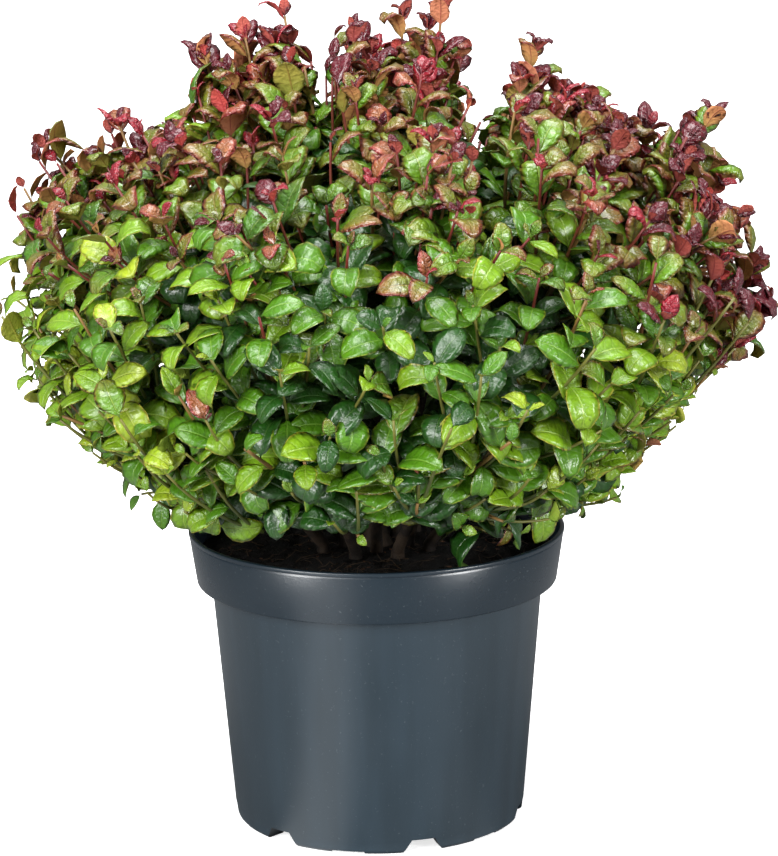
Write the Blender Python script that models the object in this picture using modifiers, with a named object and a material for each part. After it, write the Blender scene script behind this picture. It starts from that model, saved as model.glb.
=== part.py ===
"""Potted leucothoe: a curly-leaved evergreen shrub, about half a metre tall, in a plain nursery pot.

Metres, +Z up. The origin is where the pot's axis meets the ground, and the side that faces the viewer is -Y.
The pot is turned from one profile. The shrub is a clump: boughs rise from the compost round one short stem,
and each bough carries one mass of foliage, whose twigs branch inside a cone of its own by a seeded rule.
"""

import math
import random
from itertools import combinations

import bmesh
import bpy
from mathutils import Matrix, Vector
from mathutils.bvhtree import BVHTree

OBJECT_NAME = "potted_leucothoe"

# Clearance between pieces that touch, and the merge distance of turned shapes
TOUCH_GAP = 0.0003
MERGE_DISTANCE = 0.00002

# Pot: a five-litre nursery container, 23 cm wide at the rim
POT_HEIGHT = 0.182
RIM_RADIUS = 0.115
RIM_BEAD_HEIGHT = 0.0026
RIM_GROOVE_DEPTH = 0.0010
COLLAR_HEIGHT = 0.0327
COLLAR_FOOT_RADIUS = 0.1104
COLLAR_FOOT_ROUND = 0.0016
SHOULDER_RADIUS = 0.1012
BASE_RADIUS = 0.0885
BASE_ROUND = 0.0034
WALL = 0.0019
FOOT_RING_WIDTH = 0.014
FLOOR_UNDERSIDE = 0.0100
FLOOR_THICKNESS = 0.0022
CENTRE_PAD_RADIUS = 0.016
FOOT_DRAFT = 0.001
RIM_EDGE_ROUND = 0.0007
SHOULDER_ROUND = 0.0016
SHOULDER_DROP = 0.001
POT_STEPS = 48

# Drain notches through the foot ring, and the shallow recess in the middle of each foot between them
NOTCH_COUNT = 6
FIRST_NOTCH_ANGLE = math.radians(-73.0)
NOTCH_DEPTH = 1.6 * FOOT_RING_WIDTH
NOTCH_HEIGHT = 0.0085
NOTCH_TOP_WIDTH = 0.0145
NOTCH_FOOT_WIDTH = 0.0280
RECESS_HEIGHT = 0.0018
RECESS_TOP_WIDTH = 0.0200
RECESS_FOOT_WIDTH = 0.0220
BELOW_GROUND = -0.002
DRAIN_HOLE_RADIUS = 0.0050
DRAIN_HOLE_PLACE = 0.0780
DRAIN_HOLE_SIDES = 10

# Compost: flat round the stems, falling a little towards the wall
COMPOST_TOP = 0.1700
COMPOST_EDGE_TOP = 0.1660
COMPOST_FLAT_RADIUS = 0.048
COMPOST_MID_DIP = 0.0012
COMPOST_STEPS = 32

# Short stem in the middle of the clump, flared where it meets the compost
STEM_HEIGHT = 0.024
STEM_FLARE_RADIUS = 0.0105
STEM_RADIUS = 0.0068
STEM_FLARE_TOP = 0.20
STEM_WAIST = 0.55
STEM_TOP_RADIUS = 0.0052
STEM_SIDES = 14

# Crown: reach of the leaf tips from the middle of the compost's top, by lean from the vertical in degrees
HUB = Vector((0.0, 0.0, COMPOST_TOP))
CROWN_OUTLINE = (
    (0.0, 0.308),
    (30.0, 0.296),
    (46.0, 0.306),
    (56.0, 0.286),
    (63.0, 0.255),
    (71.0, 0.202),
    (79.0, 0.164),
    (90.0, 0.126),
)
RIGHT_SIDE_FULLNESS = 0.035
LOWEST_LEAN = 88.0

# Leader shoots that stand out of the crown: lean and azimuth in degrees, and the reach of their tips
LEADERS = (
    (11.6, 143.0, 0.334),
    (4.4, 234.0, 0.322),
    (12.7, 78.0, 0.326),
    (8.5, 25.0, 0.332),
    (17.9, 328.0, 0.311),
    (19.4, 16.0, 0.322),
    (28.3, 20.0, 0.306),
    (35.6, 12.0, 0.312),
    (39.5, 357.0, 0.342),
    (45.3, 345.0, 0.323),
    (53.5, 352.0, 0.300),
    (18.0, 163.0, 0.318),
    (31.5, 162.0, 0.308),
    (38.6, 172.0, 0.321),
    (45.4, 168.0, 0.323),
    (24.0, 100.0, 0.318),
    (38.0, 120.0, 0.322),
    (40.0, 70.0, 0.326),
    (52.0, 95.0, 0.302),
    (34.0, 285.0, 0.318),
    (42.0, 250.0, 0.316),
    (27.0, 205.0, 0.312),
)

# Boughs: each ring's lean, its boughs' feet and where they hand over to the foliage
INNER_COUNT = 5
OUTER_COUNT = 9
INNER_LEAN = math.radians(31.0)
OUTER_LEAN = math.radians(63.0)
INNER_FIRST_AZIMUTH = math.radians(270.0)
OUTER_FIRST_AZIMUTH = math.radians(250.0)
INNER_FOOT_RING = 0.0205
OUTER_FOOT_RING = 0.0370
TOP_BOUGH_REACH = 0.130
INNER_BOUGH_REACH = 0.126
OUTER_BOUGH_REACH = 0.096
BOUGH_FOOT_RADIUS = 0.0038
BOUGH_TIP_RADIUS = 0.0022
BOUGH_UPRIGHT_FOOT = 0.004
BOUGH_BEND = 0.55
BOUGH_SEGMENTS = 4

# Twigs of the masses: where they fork from their mass's stem, and how they bend up towards their tips
CONE_MARGIN = 0.0002
LIMB_CLEARANCE = 0.0025
SHOOT_COUNT = 84
SHOOT_REACH_RANGE = (0.93, 1.0)
LOWEST_FORK = 0.04
HIGHEST_FORK = 0.62
FORK_OF_STRAIGHTEST = 0.70
FORK_SPREAD = math.radians(34.0)
FORK_SCATTER = (-0.03, 0.05)
SHOOT_RISE = 0.9
SHOOT_BEND = 0.45
SHOOT_SEGMENTS = 2
SHOOT_SHORT_OF_OUTLINE = 0.036
LEADER_WIDTH = math.radians(7.5)
OUTLINE_SLACK = 0.006
SHOOT_FOOT_RADIUS = 0.0017
SHOOT_TIP_RADIUS = 0.0010
SHOOT_OVER_RIM = 0.008
STEM_SEGMENTS = 3

# Leaves of the masses: one stands for two or three of the shrub's own
LEAVES_ON_SHOOT = 4
LEAF_SPACING = 0.15
LEAF_SPACING_GROWTH = 0.010
LEAF_LENGTH = 0.052
LEAF_WIDTH = 0.034
LEAF_THICKNESS = 0.0013
LEAF_TIP_DROOP = 0.30
LEAF_SIDE_DROOP = 0.10
LEAF_WIDEST_BACK = 0.06
LEAF_ROOT_DEPTH = 0.0004
LEAF_SPREAD = math.radians(66.0)
LEAF_SPREAD_RANGE = (0.85, 1.15)
LEAF_SIZE_RANGE = (0.85, 1.05)
TIP_LEAF_OPENING = 0.45
RIM_CLEARANCE = 0.0015
MOUTH_CLEARANCE = 0.002
COMPOST_CLEARANCE = 0.001
GOLDEN_ANGLE = math.pi * (3.0 - math.sqrt(5.0))

# Where a leaf is tried, in turn: an extra turn round its twig, a factor on its spread and one on its size
LEAF_TRIALS = [
    (turn, opening, scale)
    for scale in (1.0, 0.85, 0.7)
    for opening in (1.0, 1.4, 0.7)
    for turn in (0.0, 0.6, -0.6, 1.3, -1.3, 2.2, -2.2, math.pi)
]
SEED = 41

# Colours as linear red, green and blue, with the roughness of each surface
POT_COLOUR = (0.050, 0.066, 0.076)
COMPOST_COLOUR = (0.022, 0.014, 0.009)
BARK_COLOUR = (0.120, 0.075, 0.040)
OLD_LEAF_COLOUR = (0.075, 0.190, 0.022)
YOUNG_LEAF_COLOUR = (0.200, 0.090, 0.045)


def surface(name, colour, roughness):
    """A plain material in one colour."""
    material = bpy.data.materials.new(name)
    material.use_nodes = True
    shader = material.node_tree.nodes["Principled BSDF"]
    shader.inputs["Base Color"].default_value = (*colour, 1.0)
    shader.inputs["Roughness"].default_value = roughness
    shader.inputs["Metallic"].default_value = 0.0
    return material


def add_object(name, data, material, collection):
    """A new object in a collection, wearing one material."""
    thing = bpy.data.objects.new(name, data)
    data.materials.clear()
    data.materials.append(material)
    collection.objects.link(thing)
    return thing


def turned(name, profile, steps, material, collection):
    """A profile of (radius, height) points, turned about Z. It runs down its outer side."""
    mesh = bpy.data.meshes.new(name)
    bm = bmesh.new()
    corners = [bm.verts.new((radius, 0.0, height)) for radius, height in profile]
    for start, end in zip(corners, corners[1:]):
        bm.edges.new((start, end))
    bm.to_mesh(mesh)
    bm.free()
    thing = add_object(name, mesh, material, collection)
    screw = thing.modifiers.new("turn", "SCREW")
    screw.angle = math.tau
    screw.steps = steps
    screw.render_steps = steps
    screw.use_merge_vertices = True
    screw.merge_threshold = MERGE_DISTANCE
    return thing


def arc(centre, radius, start_degrees, end_degrees, count):
    """Points (radius, height) along an arc of a profile."""
    angles = [
        math.radians(start_degrees + (end_degrees - start_degrees) * step / count) for step in range(count + 1)
    ]
    return [(centre[0] + radius * math.cos(a), centre[1] + radius * math.sin(a)) for a in angles]


def inner_wall_radius(height):
    """The radius of the pot's inside at a height: body below, wider collar above."""
    collar_foot = POT_HEIGHT - COLLAR_HEIGHT
    if height >= collar_foot + WALL:
        share = (height - collar_foot) / COLLAR_HEIGHT
        return COLLAR_FOOT_RADIUS + (RIM_RADIUS - COLLAR_FOOT_RADIUS) * share - WALL - RIM_GROOVE_DEPTH
    return BASE_RADIUS + (SHOULDER_RADIUS - BASE_RADIUS) * height / collar_foot - WALL


def pot_profile():
    """The pot's section, from the middle of its floor up the inside, over the rim and down the outside."""
    floor_top = FLOOR_UNDERSIDE + FLOOR_THICKNESS
    collar_foot = POT_HEIGHT - COLLAR_HEIGHT
    shoulder_inside = collar_foot - SHOULDER_DROP
    step_inside = collar_foot + WALL + SHOULDER_DROP
    bead_foot = POT_HEIGHT - RIM_BEAD_HEIGHT
    under_bead = RIM_RADIUS - RIM_GROOVE_DEPTH
    rim_inside = inner_wall_radius(POT_HEIGHT)
    inside = [
        (0.0, floor_top),
        (inner_wall_radius(floor_top), floor_top),
        (inner_wall_radius(shoulder_inside), shoulder_inside),
        (inner_wall_radius(step_inside), step_inside),
        (rim_inside, POT_HEIGHT - RIM_EDGE_ROUND),
    ]
    rim = [
        (rim_inside + RIM_EDGE_ROUND, POT_HEIGHT),
        (RIM_RADIUS - RIM_EDGE_ROUND, POT_HEIGHT),
        (RIM_RADIUS, POT_HEIGHT - RIM_EDGE_ROUND),
        (RIM_RADIUS, bead_foot + RIM_EDGE_ROUND),
        (under_bead, bead_foot),
        (under_bead + 0.5 * RIM_EDGE_ROUND, bead_foot - 2.0 * RIM_EDGE_ROUND),
    ]
    collar_corner = (COLLAR_FOOT_RADIUS - COLLAR_FOOT_ROUND, collar_foot + COLLAR_FOOT_ROUND)
    collar_round = arc(collar_corner, COLLAR_FOOT_ROUND, 0.0, -80.0, 2)
    below_collar = [
        (SHOULDER_RADIUS + 0.25 * SHOULDER_ROUND, collar_foot - 0.1 * SHOULDER_ROUND),
        (SHOULDER_RADIUS, collar_foot - SHOULDER_ROUND),
    ]
    base_corner = (BASE_RADIUS - BASE_ROUND, BASE_ROUND)
    base_round = arc(base_corner, BASE_ROUND, 0.0, -90.0, 3)
    ring_inside = BASE_RADIUS - FOOT_RING_WIDTH
    underside = [
        (ring_inside, 0.0),
        (ring_inside - FOOT_DRAFT, FLOOR_UNDERSIDE),
        (CENTRE_PAD_RADIUS + FOOT_DRAFT, FLOOR_UNDERSIDE),
        (CENTRE_PAD_RADIUS, 0.0),
        (0.0, 0.0),
    ]
    return inside + rim + collar_round + below_collar + base_round + underside


def block_cutter(name, foot_width, top_width, top, collection):
    """A block along X that narrows from below the ground to its top: the space of a notch or recess."""
    mesh = bpy.data.meshes.new(name)
    bm = bmesh.new()
    bmesh.ops.create_cube(bm, size=1.0)
    for corner in bm.verts:
        at_top = corner.co.z > 0.0
        corner.co.x *= NOTCH_DEPTH
        corner.co.y *= top_width if at_top else foot_width
        corner.co.z = top if at_top else BELOW_GROUND
    bm.to_mesh(mesh)
    bm.free()
    return add_cutter(name, mesh, collection)


def hole_cutter(name, collection):
    """An upright cylinder through the pot's floor: the space of a drain hole."""
    mesh = bpy.data.meshes.new(name)
    bm = bmesh.new()
    bmesh.ops.create_cone(
        bm,
        cap_ends=True,
        segments=DRAIN_HOLE_SIDES,
        radius1=DRAIN_HOLE_RADIUS,
        radius2=DRAIN_HOLE_RADIUS,
        depth=2.0 * FLOOR_UNDERSIDE,
    )
    bmesh.ops.translate(bm, verts=bm.verts, vec=(0.0, 0.0, FLOOR_UNDERSIDE))
    bm.to_mesh(mesh)
    bm.free()
    return add_cutter(name, mesh, collection)


def add_cutter(name, mesh, collection):
    """A cutter shows as wires and stays out of the model."""
    cutter = bpy.data.objects.new(name, mesh)
    cutter.hide_render = True
    cutter.display_type = "WIRE"
    collection.objects.link(cutter)
    return cutter


def round_the_axis(angle, radius):
    """The place at a radius in a direction round Z, turned to face outwards."""
    return Matrix.Rotation(angle, 4, "Z") @ Matrix.Translation((radius, 0.0, 0.0))


def make_pot(parts, cutters, material):
    """The pot, with its drain notches, foot recesses and drain holes cut out."""
    pot = turned("pot", pot_profile(), POT_STEPS, material, parts)
    ring_middle = BASE_RADIUS - FOOT_RING_WIDTH / 2
    for index in range(NOTCH_COUNT):
        notch_angle = FIRST_NOTCH_ANGLE + index * math.tau / NOTCH_COUNT
        foot_angle = notch_angle + math.pi / NOTCH_COUNT
        notch = block_cutter(f"notch_{index + 1}", NOTCH_FOOT_WIDTH, NOTCH_TOP_WIDTH, NOTCH_HEIGHT, cutters)
        notch.matrix_world = round_the_axis(notch_angle, ring_middle)
        recess_name = f"recess_{index + 1}"
        recess = block_cutter(recess_name, RECESS_FOOT_WIDTH, RECESS_TOP_WIDTH, RECESS_HEIGHT, cutters)
        recess.matrix_world = round_the_axis(foot_angle, ring_middle)
        hole = hole_cutter(f"drain_{index + 1}", cutters)
        hole.matrix_world = round_the_axis(notch_angle, DRAIN_HOLE_PLACE)
    cut = pot.modifiers.new("drainage", "BOOLEAN")
    cut.operation = "DIFFERENCE"
    cut.solver = "EXACT"
    cut.use_self = True
    cut.operand_type = "COLLECTION"
    cut.collection = cutters


def make_compost(parts, material):
    """The compost that fills the pot, clear of its wall by the touch gap."""
    floor = FLOOR_UNDERSIDE + FLOOR_THICKNESS + TOUCH_GAP
    collar_foot = POT_HEIGHT - COLLAR_HEIGHT
    shoulder = collar_foot - SHOULDER_DROP
    step = collar_foot + WALL + SHOULDER_DROP
    clear = 2 * TOUCH_GAP
    profile = [
        (0.0, COMPOST_TOP),
        (COMPOST_FLAT_RADIUS, COMPOST_TOP),
        (0.5 * (COMPOST_FLAT_RADIUS + RIM_RADIUS), COMPOST_TOP - COMPOST_MID_DIP),
        (inner_wall_radius(COMPOST_EDGE_TOP) - clear, COMPOST_EDGE_TOP),
        (inner_wall_radius(step) - clear, step + clear),
        (inner_wall_radius(shoulder) - clear, shoulder + clear),
        (inner_wall_radius(floor) - clear, floor),
        (0.0, floor),
    ]
    turned("compost", profile, COMPOST_STEPS, material, parts)


def make_short_stem(parts, material):
    """The short middle stem, from its flat foot on the compost to the fork where the top bough leaves it."""
    foot = COMPOST_TOP + TOUCH_GAP
    profile = [
        (0.0, foot + STEM_HEIGHT),
        (STEM_TOP_RADIUS, foot + STEM_HEIGHT),
        (STEM_RADIUS, foot + STEM_WAIST * STEM_HEIGHT),
        (0.5 * (STEM_RADIUS + STEM_FLARE_RADIUS), foot + STEM_FLARE_TOP * STEM_HEIGHT),
        (STEM_FLARE_RADIUS, foot),
        (0.0, foot),
    ]
    turned("short_stem", profile, STEM_SIDES, material, parts)


def towards(lean, azimuth):
    """The direction at a lean from the vertical and an azimuth round Z."""
    return Vector(
        (math.sin(lean) * math.cos(azimuth), math.sin(lean) * math.sin(azimuth), math.cos(lean))
    )


def outline_reach(way):
    """How far the crown's leaf tips reach from the hub in a direction."""
    lean = math.degrees(math.acos(max(-1.0, min(1.0, way.z))))
    reach = CROWN_OUTLINE[-1][1]
    for (low, reach_low), (high, reach_high) in zip(CROWN_OUTLINE, CROWN_OUTLINE[1:]):
        if lean <= high:
            reach = reach_low + (reach_high - reach_low) * (lean - low) / (high - low)
            break
    return reach * (1.0 + RIGHT_SIDE_FULLNESS * way.x)


def allowed_reach(way):
    """How far a leaf may reach in a direction: to the outline, or to the tip of a leader close by."""
    reach = outline_reach(way)
    for lean, azimuth, leader_reach in LEADERS:
        if way.angle(towards(math.radians(lean), math.radians(azimuth))) < LEADER_WIDTH:
            reach = max(reach, leader_reach)
    return reach + OUTLINE_SLACK


def bezier(start, handle, end, share):
    """A point on a quadratic curve."""
    return start.lerp(handle, share).lerp(handle.lerp(end, share), share)


def limb_path(start, handle, end, segments):
    """Points along a quadratic curve."""
    return [bezier(start, handle, end, step / segments) for step in range(segments + 1)]


class Bough:
    """One bough: its foot on the compost, the cone it feeds and the mass of foliage at its tip."""

    def __init__(self, label, lean, azimuth, foot, tip_reach):
        self.label = label
        self.way = towards(lean, azimuth)
        self.tip = HUB + self.way * tip_reach
        upright = foot + Vector((0.0, 0.0, BOUGH_UPRIGHT_FOOT))
        handle = self.tip - self.way * BOUGH_BEND * (self.tip - upright).length
        self.path = [foot] + limb_path(upright, handle, self.tip, BOUGH_SEGMENTS)
        last = len(self.path) - 1
        self.radii = [
            BOUGH_FOOT_RADIUS + (BOUGH_TIP_RADIUS - BOUGH_FOOT_RADIUS) * step / last for step in range(last + 1)
        ]

    def distance_to(self, point):
        """How far a point is from the bough's bark."""
        nearest = math.inf
        for start, end, radius in zip(self.path, self.path[1:], self.radii):
            run = end - start
            share = max(0.0, min(1.0, (point - start).dot(run) / run.length_squared))
            nearest = min(nearest, (start + run * share - point).length - radius)
        return nearest


def plan_boughs():
    """The clump's boughs: one in the middle, an inner ring and an outer ring."""
    boughs = []
    stem_top = Vector((0.0, 0.0, COMPOST_TOP + STEM_HEIGHT + 2 * TOUCH_GAP))
    boughs.append(Bough("top", 0.0, 0.0, stem_top, TOP_BOUGH_REACH))
    rings = (
        ("inner", INNER_COUNT, INNER_LEAN, INNER_FIRST_AZIMUTH, INNER_FOOT_RING, INNER_BOUGH_REACH),
        ("outer", OUTER_COUNT, OUTER_LEAN, OUTER_FIRST_AZIMUTH, OUTER_FOOT_RING, OUTER_BOUGH_REACH),
    )
    for ring, count, lean, first, foot_ring, reach in rings:
        for index in range(count):
            azimuth = first + index * math.tau / count
            foot = Vector((math.cos(azimuth), math.sin(azimuth), 0.0)) * foot_ring
            foot.z = COMPOST_TOP + TOUCH_GAP
            boughs.append(Bough(f"{ring}_{index + 1:02d}", lean, azimuth, foot, reach))
    return boughs


def make_bough(bough, parts, material):
    """One tapering limb with a flat foot."""
    curve = bpy.data.curves.new(f"bough_{bough.label}", "CURVE")
    curve.dimensions = "3D"
    curve.bevel_depth = 1.0
    curve.bevel_resolution = 1
    curve.use_fill_caps = True
    spline = curve.splines.new("POLY")
    spline.points.add(len(bough.path) - 1)
    for knot, place, radius in zip(spline.points, bough.path, bough.radii):
        knot.co = (*place, 1.0)
        knot.radius = radius
    add_object(f"bough_{bough.label}", curve, material, parts)


class Shoot:
    """A twig's curve and the size of its leaves."""

    def __init__(self, start, handle, end, leaf_scale):
        self.start = start
        self.handle = handle
        self.end = end
        self.leaf_scale = leaf_scale

    def point(self, share):
        """A point along the twig."""
        return bezier(self.start, self.handle, self.end, share)

    def tangent(self, share):
        """The twig's direction at a point along it."""
        first = self.handle - self.start
        last = self.end - self.handle
        return first.lerp(last, share).normalized()

    def clears(self, boughs):
        """Is the twig clear of every bough, past the stretch where it leaves its stem?"""
        places = [self.point(0.1 * step) for step in range(3, 11)]
        nearest = min(bough.distance_to(place) for bough in boughs for place in places)
        return nearest > SHOOT_FOOT_RADIUS + TOUCH_GAP


def in_own_cone(point, own, boughs, margin):
    """Does a point lie nearer to its own bough's direction than to any other's, by a margin?"""
    offset = point - HUB
    for other in boughs:
        if other is own:
            continue
        across = own.way - other.way
        if offset.dot(across) / across.length < margin:
            return False
    return True


def shoot_tips():
    """Directions and reaches of the shoots: a spiral over the whole crown, and the leaders."""
    tips = []
    chance = random.Random(SEED)
    lowest = math.cos(math.radians(LOWEST_LEAN))
    for index in range(SHOOT_COUNT):
        height = 1.0 - (1.0 - lowest) * (index + 0.5) / SHOOT_COUNT
        way = towards(math.acos(height), index * GOLDEN_ANGLE)
        tips.append((way, outline_reach(way) * chance.uniform(*SHOOT_REACH_RANGE)))
    for lean, azimuth, reach in LEADERS:
        tips.append((towards(math.radians(lean), math.radians(azimuth)), reach))
    return tips


def plan_shoots(own, boughs, chance):
    """One mass's stem and the shoots that leave it for the tips inside its cone."""
    start = own.tip + own.way * TOUCH_GAP
    stem_end = HUB + own.way * (outline_reach(own.way) - SHOOT_SHORT_OF_OUTLINE)
    stem = Shoot(start, (start + stem_end) / 2, stem_end, 1.0)
    shoots = [stem]
    for way, reach in shoot_tips():
        if max(boughs, key=lambda bough: bough.way.dot(way)) is not own:
            continue
        end = HUB + way * (reach - SHOOT_SHORT_OF_OUTLINE)
        end.z = max(end.z, POT_HEIGHT + SHOOT_OVER_RIM)
        fork = FORK_OF_STRAIGHTEST - way.angle(own.way) / FORK_SPREAD
        fork = max(LOWEST_FORK, min(HIGHEST_FORK, fork)) + chance.uniform(*FORK_SCATTER)
        root = stem.point(fork)
        rise = (way + Vector((0.0, 0.0, SHOOT_RISE))).normalized()
        handle = end - rise * SHOOT_BEND * (end - root).length
        margin = CONE_MARGIN + SHOOT_FOOT_RADIUS
        if not in_own_cone(handle, own, boughs, margin):
            handle = root.lerp(end, 0.5)
        shoot = Shoot(root, handle, end, chance.uniform(*LEAF_SIZE_RANGE))
        if in_own_cone(end, own, boughs, margin) and shoot.clears(boughs):
            shoots.append(shoot)
    return shoots


def leaf_mesh(material):
    """A curled leaf along +X, its face up: a flat sphere of eight faces, bent down at its sides and tip."""
    mesh = bpy.data.meshes.new("leaf")
    bm = bmesh.new()
    bmesh.ops.create_uvsphere(bm, u_segments=4, v_segments=2, radius=1.0)
    for corner in bm.verts:
        along = 0.5 * (corner.co.x + 1.0)
        side = abs(corner.co.y)
        droop = LEAF_TIP_DROOP * along * along + LEAF_SIDE_DROOP * side
        corner.co.x = (along - LEAF_WIDEST_BACK * side) * LEAF_LENGTH
        corner.co.y *= 0.5 * LEAF_WIDTH
        corner.co.z = 0.5 * LEAF_THICKNESS * corner.co.z - droop * LEAF_LENGTH
    bmesh.ops.translate(bm, verts=bm.verts, vec=(-LEAF_ROOT_DEPTH, 0.0, 0.0))
    bm.to_mesh(mesh)
    bm.free()
    mesh.materials.append(material)
    return mesh


def leaf_frame(place, stalk, around, spread, scale):
    """The matrix of a leaf at a place on a twig, turned round the twig and spread away from it."""
    side = stalk.orthogonal().normalized()
    side.rotate(Matrix.Rotation(around, 3, stalk))
    length = (stalk * math.cos(spread) + side * math.sin(spread)).normalized()
    width = stalk.cross(side).normalized()
    face = length.cross(width).normalized()
    turn = Matrix((length, width, face)).transposed().to_4x4()
    return Matrix.Translation(place) @ turn @ Matrix.Scale(scale, 4)


def leaf_fits(corners, own, boughs):
    """Does a leaf stay in its mass's cone and outline, and clear of the boughs, the pot and the compost?"""
    mouth_radius = inner_wall_radius(COMPOST_TOP) - MOUTH_CLEARANCE
    above_rim = min(corner.z for corner in corners) > POT_HEIGHT + RIM_CLEARANCE
    above_compost = min(corner.z for corner in corners) > COMPOST_TOP + COMPOST_CLEARANCE
    in_mouth = max(math.hypot(corner.x, corner.y) for corner in corners) < mouth_radius
    if not (above_rim or (above_compost and in_mouth)):
        return False
    offsets = [corner - HUB for corner in corners]
    if any(offset.length > allowed_reach(offset.normalized()) for offset in offsets):
        return False
    if not all(in_own_cone(corner, own, boughs, CONE_MARGIN) for corner in corners):
        return False
    middle = sum(corners, Vector()) / len(corners)
    near_limbs = [bough for bough in boughs if bough.distance_to(middle) < LEAF_LENGTH]
    samples = [
        start.lerp(end, share) for start, end in combinations(corners, 2) for share in (0.0, 0.25, 0.5, 0.75)
    ]
    return all(bough.distance_to(sample) > LIMB_CLEARANCE for bough in near_limbs for sample in samples)


def plan_leaves(shoot, own, boughs, leaf, obstacles, chance):
    """Matrices of the leaves along one shoot; a leaf that fits nowhere round its place is skipped.

    The obstacles are the mass's other twigs and the leaves placed so far, as trees; they grow with each leaf.
    """
    frames = []
    around = chance.uniform(0.0, math.tau)
    outline = [corner.co.copy() for corner in leaf.vertices]
    faces = [tuple(face.vertices) for face in leaf.polygons]
    for index in range(LEAVES_ON_SHOOT):
        share = 1.0 - LEAF_SPACING * index - LEAF_SPACING_GROWTH * index * index
        place = shoot.point(share)
        stalk = shoot.tangent(share)
        spread = LEAF_SPREAD * (TIP_LEAF_OPENING if index == 0 else chance.uniform(*LEAF_SPREAD_RANGE))
        around += GOLDEN_ANGLE
        for turn, opening, scale in LEAF_TRIALS:
            frame = leaf_frame(place, stalk, around + turn, spread * opening, scale * shoot.leaf_scale)
            corners = [frame @ corner for corner in outline]
            if not leaf_fits(corners, own, boughs):
                continue
            tree = BVHTree.FromPolygons(corners, faces)
            if any(tree.overlap(obstacle) for obstacle in obstacles):
                continue
            frames.append(frame)
            obstacles.append(tree)
            break
    return frames


def twig_curve(name, shoot, segments, section):
    """A three-sided tapering twig, as a curve that follows its shoot."""
    curve = bpy.data.curves.new(name, "CURVE")
    curve.dimensions = "3D"
    curve.bevel_mode = "OBJECT"
    curve.bevel_object = section
    curve.use_fill_caps = True
    spline = curve.splines.new("POLY")
    spline.points.add(segments)
    for step, knot in enumerate(spline.points):
        share = step / segments
        knot.co = (*shoot.point(share), 1.0)
        knot.radius = SHOOT_FOOT_RADIUS + (SHOOT_TIP_RADIUS - SHOOT_FOOT_RADIUS) * share
    return curve


def triangle_section(collection):
    """The twigs' section: a triangle of unit radius."""
    curve = bpy.data.curves.new("twig_section", "CURVE")
    spline = curve.splines.new("POLY")
    spline.points.add(2)
    for index, knot in enumerate(spline.points):
        angle = -index * math.tau / 3
        knot.co = (math.cos(angle), math.sin(angle), 0.0, 1.0)
    spline.use_cyclic_u = True
    section = bpy.data.objects.new("twig_section", curve)
    section.hide_render = True
    collection.objects.link(section)
    return section


def applied_mesh(thing):
    """An object's mesh with its modifiers applied."""
    bpy.context.view_layer.update()
    evaluated = thing.evaluated_get(bpy.context.evaluated_depsgraph_get())
    return bpy.data.meshes.new_from_object(evaluated)


def twig_mesh(twig, material):
    """A twig's curve as a mesh, its caps welded and its faces pointing out."""
    mesh = applied_mesh(twig)
    bm = bmesh.new()
    bm.from_mesh(mesh)
    bmesh.ops.remove_doubles(bm, verts=bm.verts, dist=MERGE_DISTANCE)
    bmesh.ops.recalc_face_normals(bm, faces=bm.faces)
    bm.to_mesh(mesh)
    bm.free()
    mesh.materials.clear()
    mesh.materials.append(material)
    return mesh


def tree_of(mesh):
    """A mesh's faces as a tree for overlap tests."""
    corners = [corner.co for corner in mesh.vertices]
    return BVHTree.FromPolygons(corners, [tuple(face.vertices) for face in mesh.polygons])


def islands(bm):
    """The mesh's separate bodies, as lists of faces."""
    waiting = set(bm.faces)
    found = []
    while waiting:
        body = [waiting.pop()]
        for face in body:
            for edge in face.edges:
                for neighbour in edge.link_faces:
                    if neighbour in waiting:
                        waiting.remove(neighbour)
                        body.append(neighbour)
        found.append(body)
    return found


def enclosed_volume(faces):
    """The signed volume that a body's faces enclose."""
    total = 0.0
    for face in faces:
        first = face.verts[0].co
        for left, right in zip(face.verts[1:], face.verts[2:]):
            total += first.dot(left.co.cross(right.co)) / 6.0
    return total


def keep_largest_body(mesh):
    """Drop loose scraps, and fill sealed hollows by dropping their walls."""
    bm = bmesh.new()
    bm.from_mesh(mesh)
    bodies = sorted(islands(bm), key=enclosed_volume)
    spare = [face for body in bodies[:-1] for face in body]
    bmesh.ops.delete(bm, geom=spare, context="FACES")
    bmesh.ops.triangulate(bm, faces=bm.faces)
    bm.to_mesh(mesh)
    bm.free()


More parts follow.
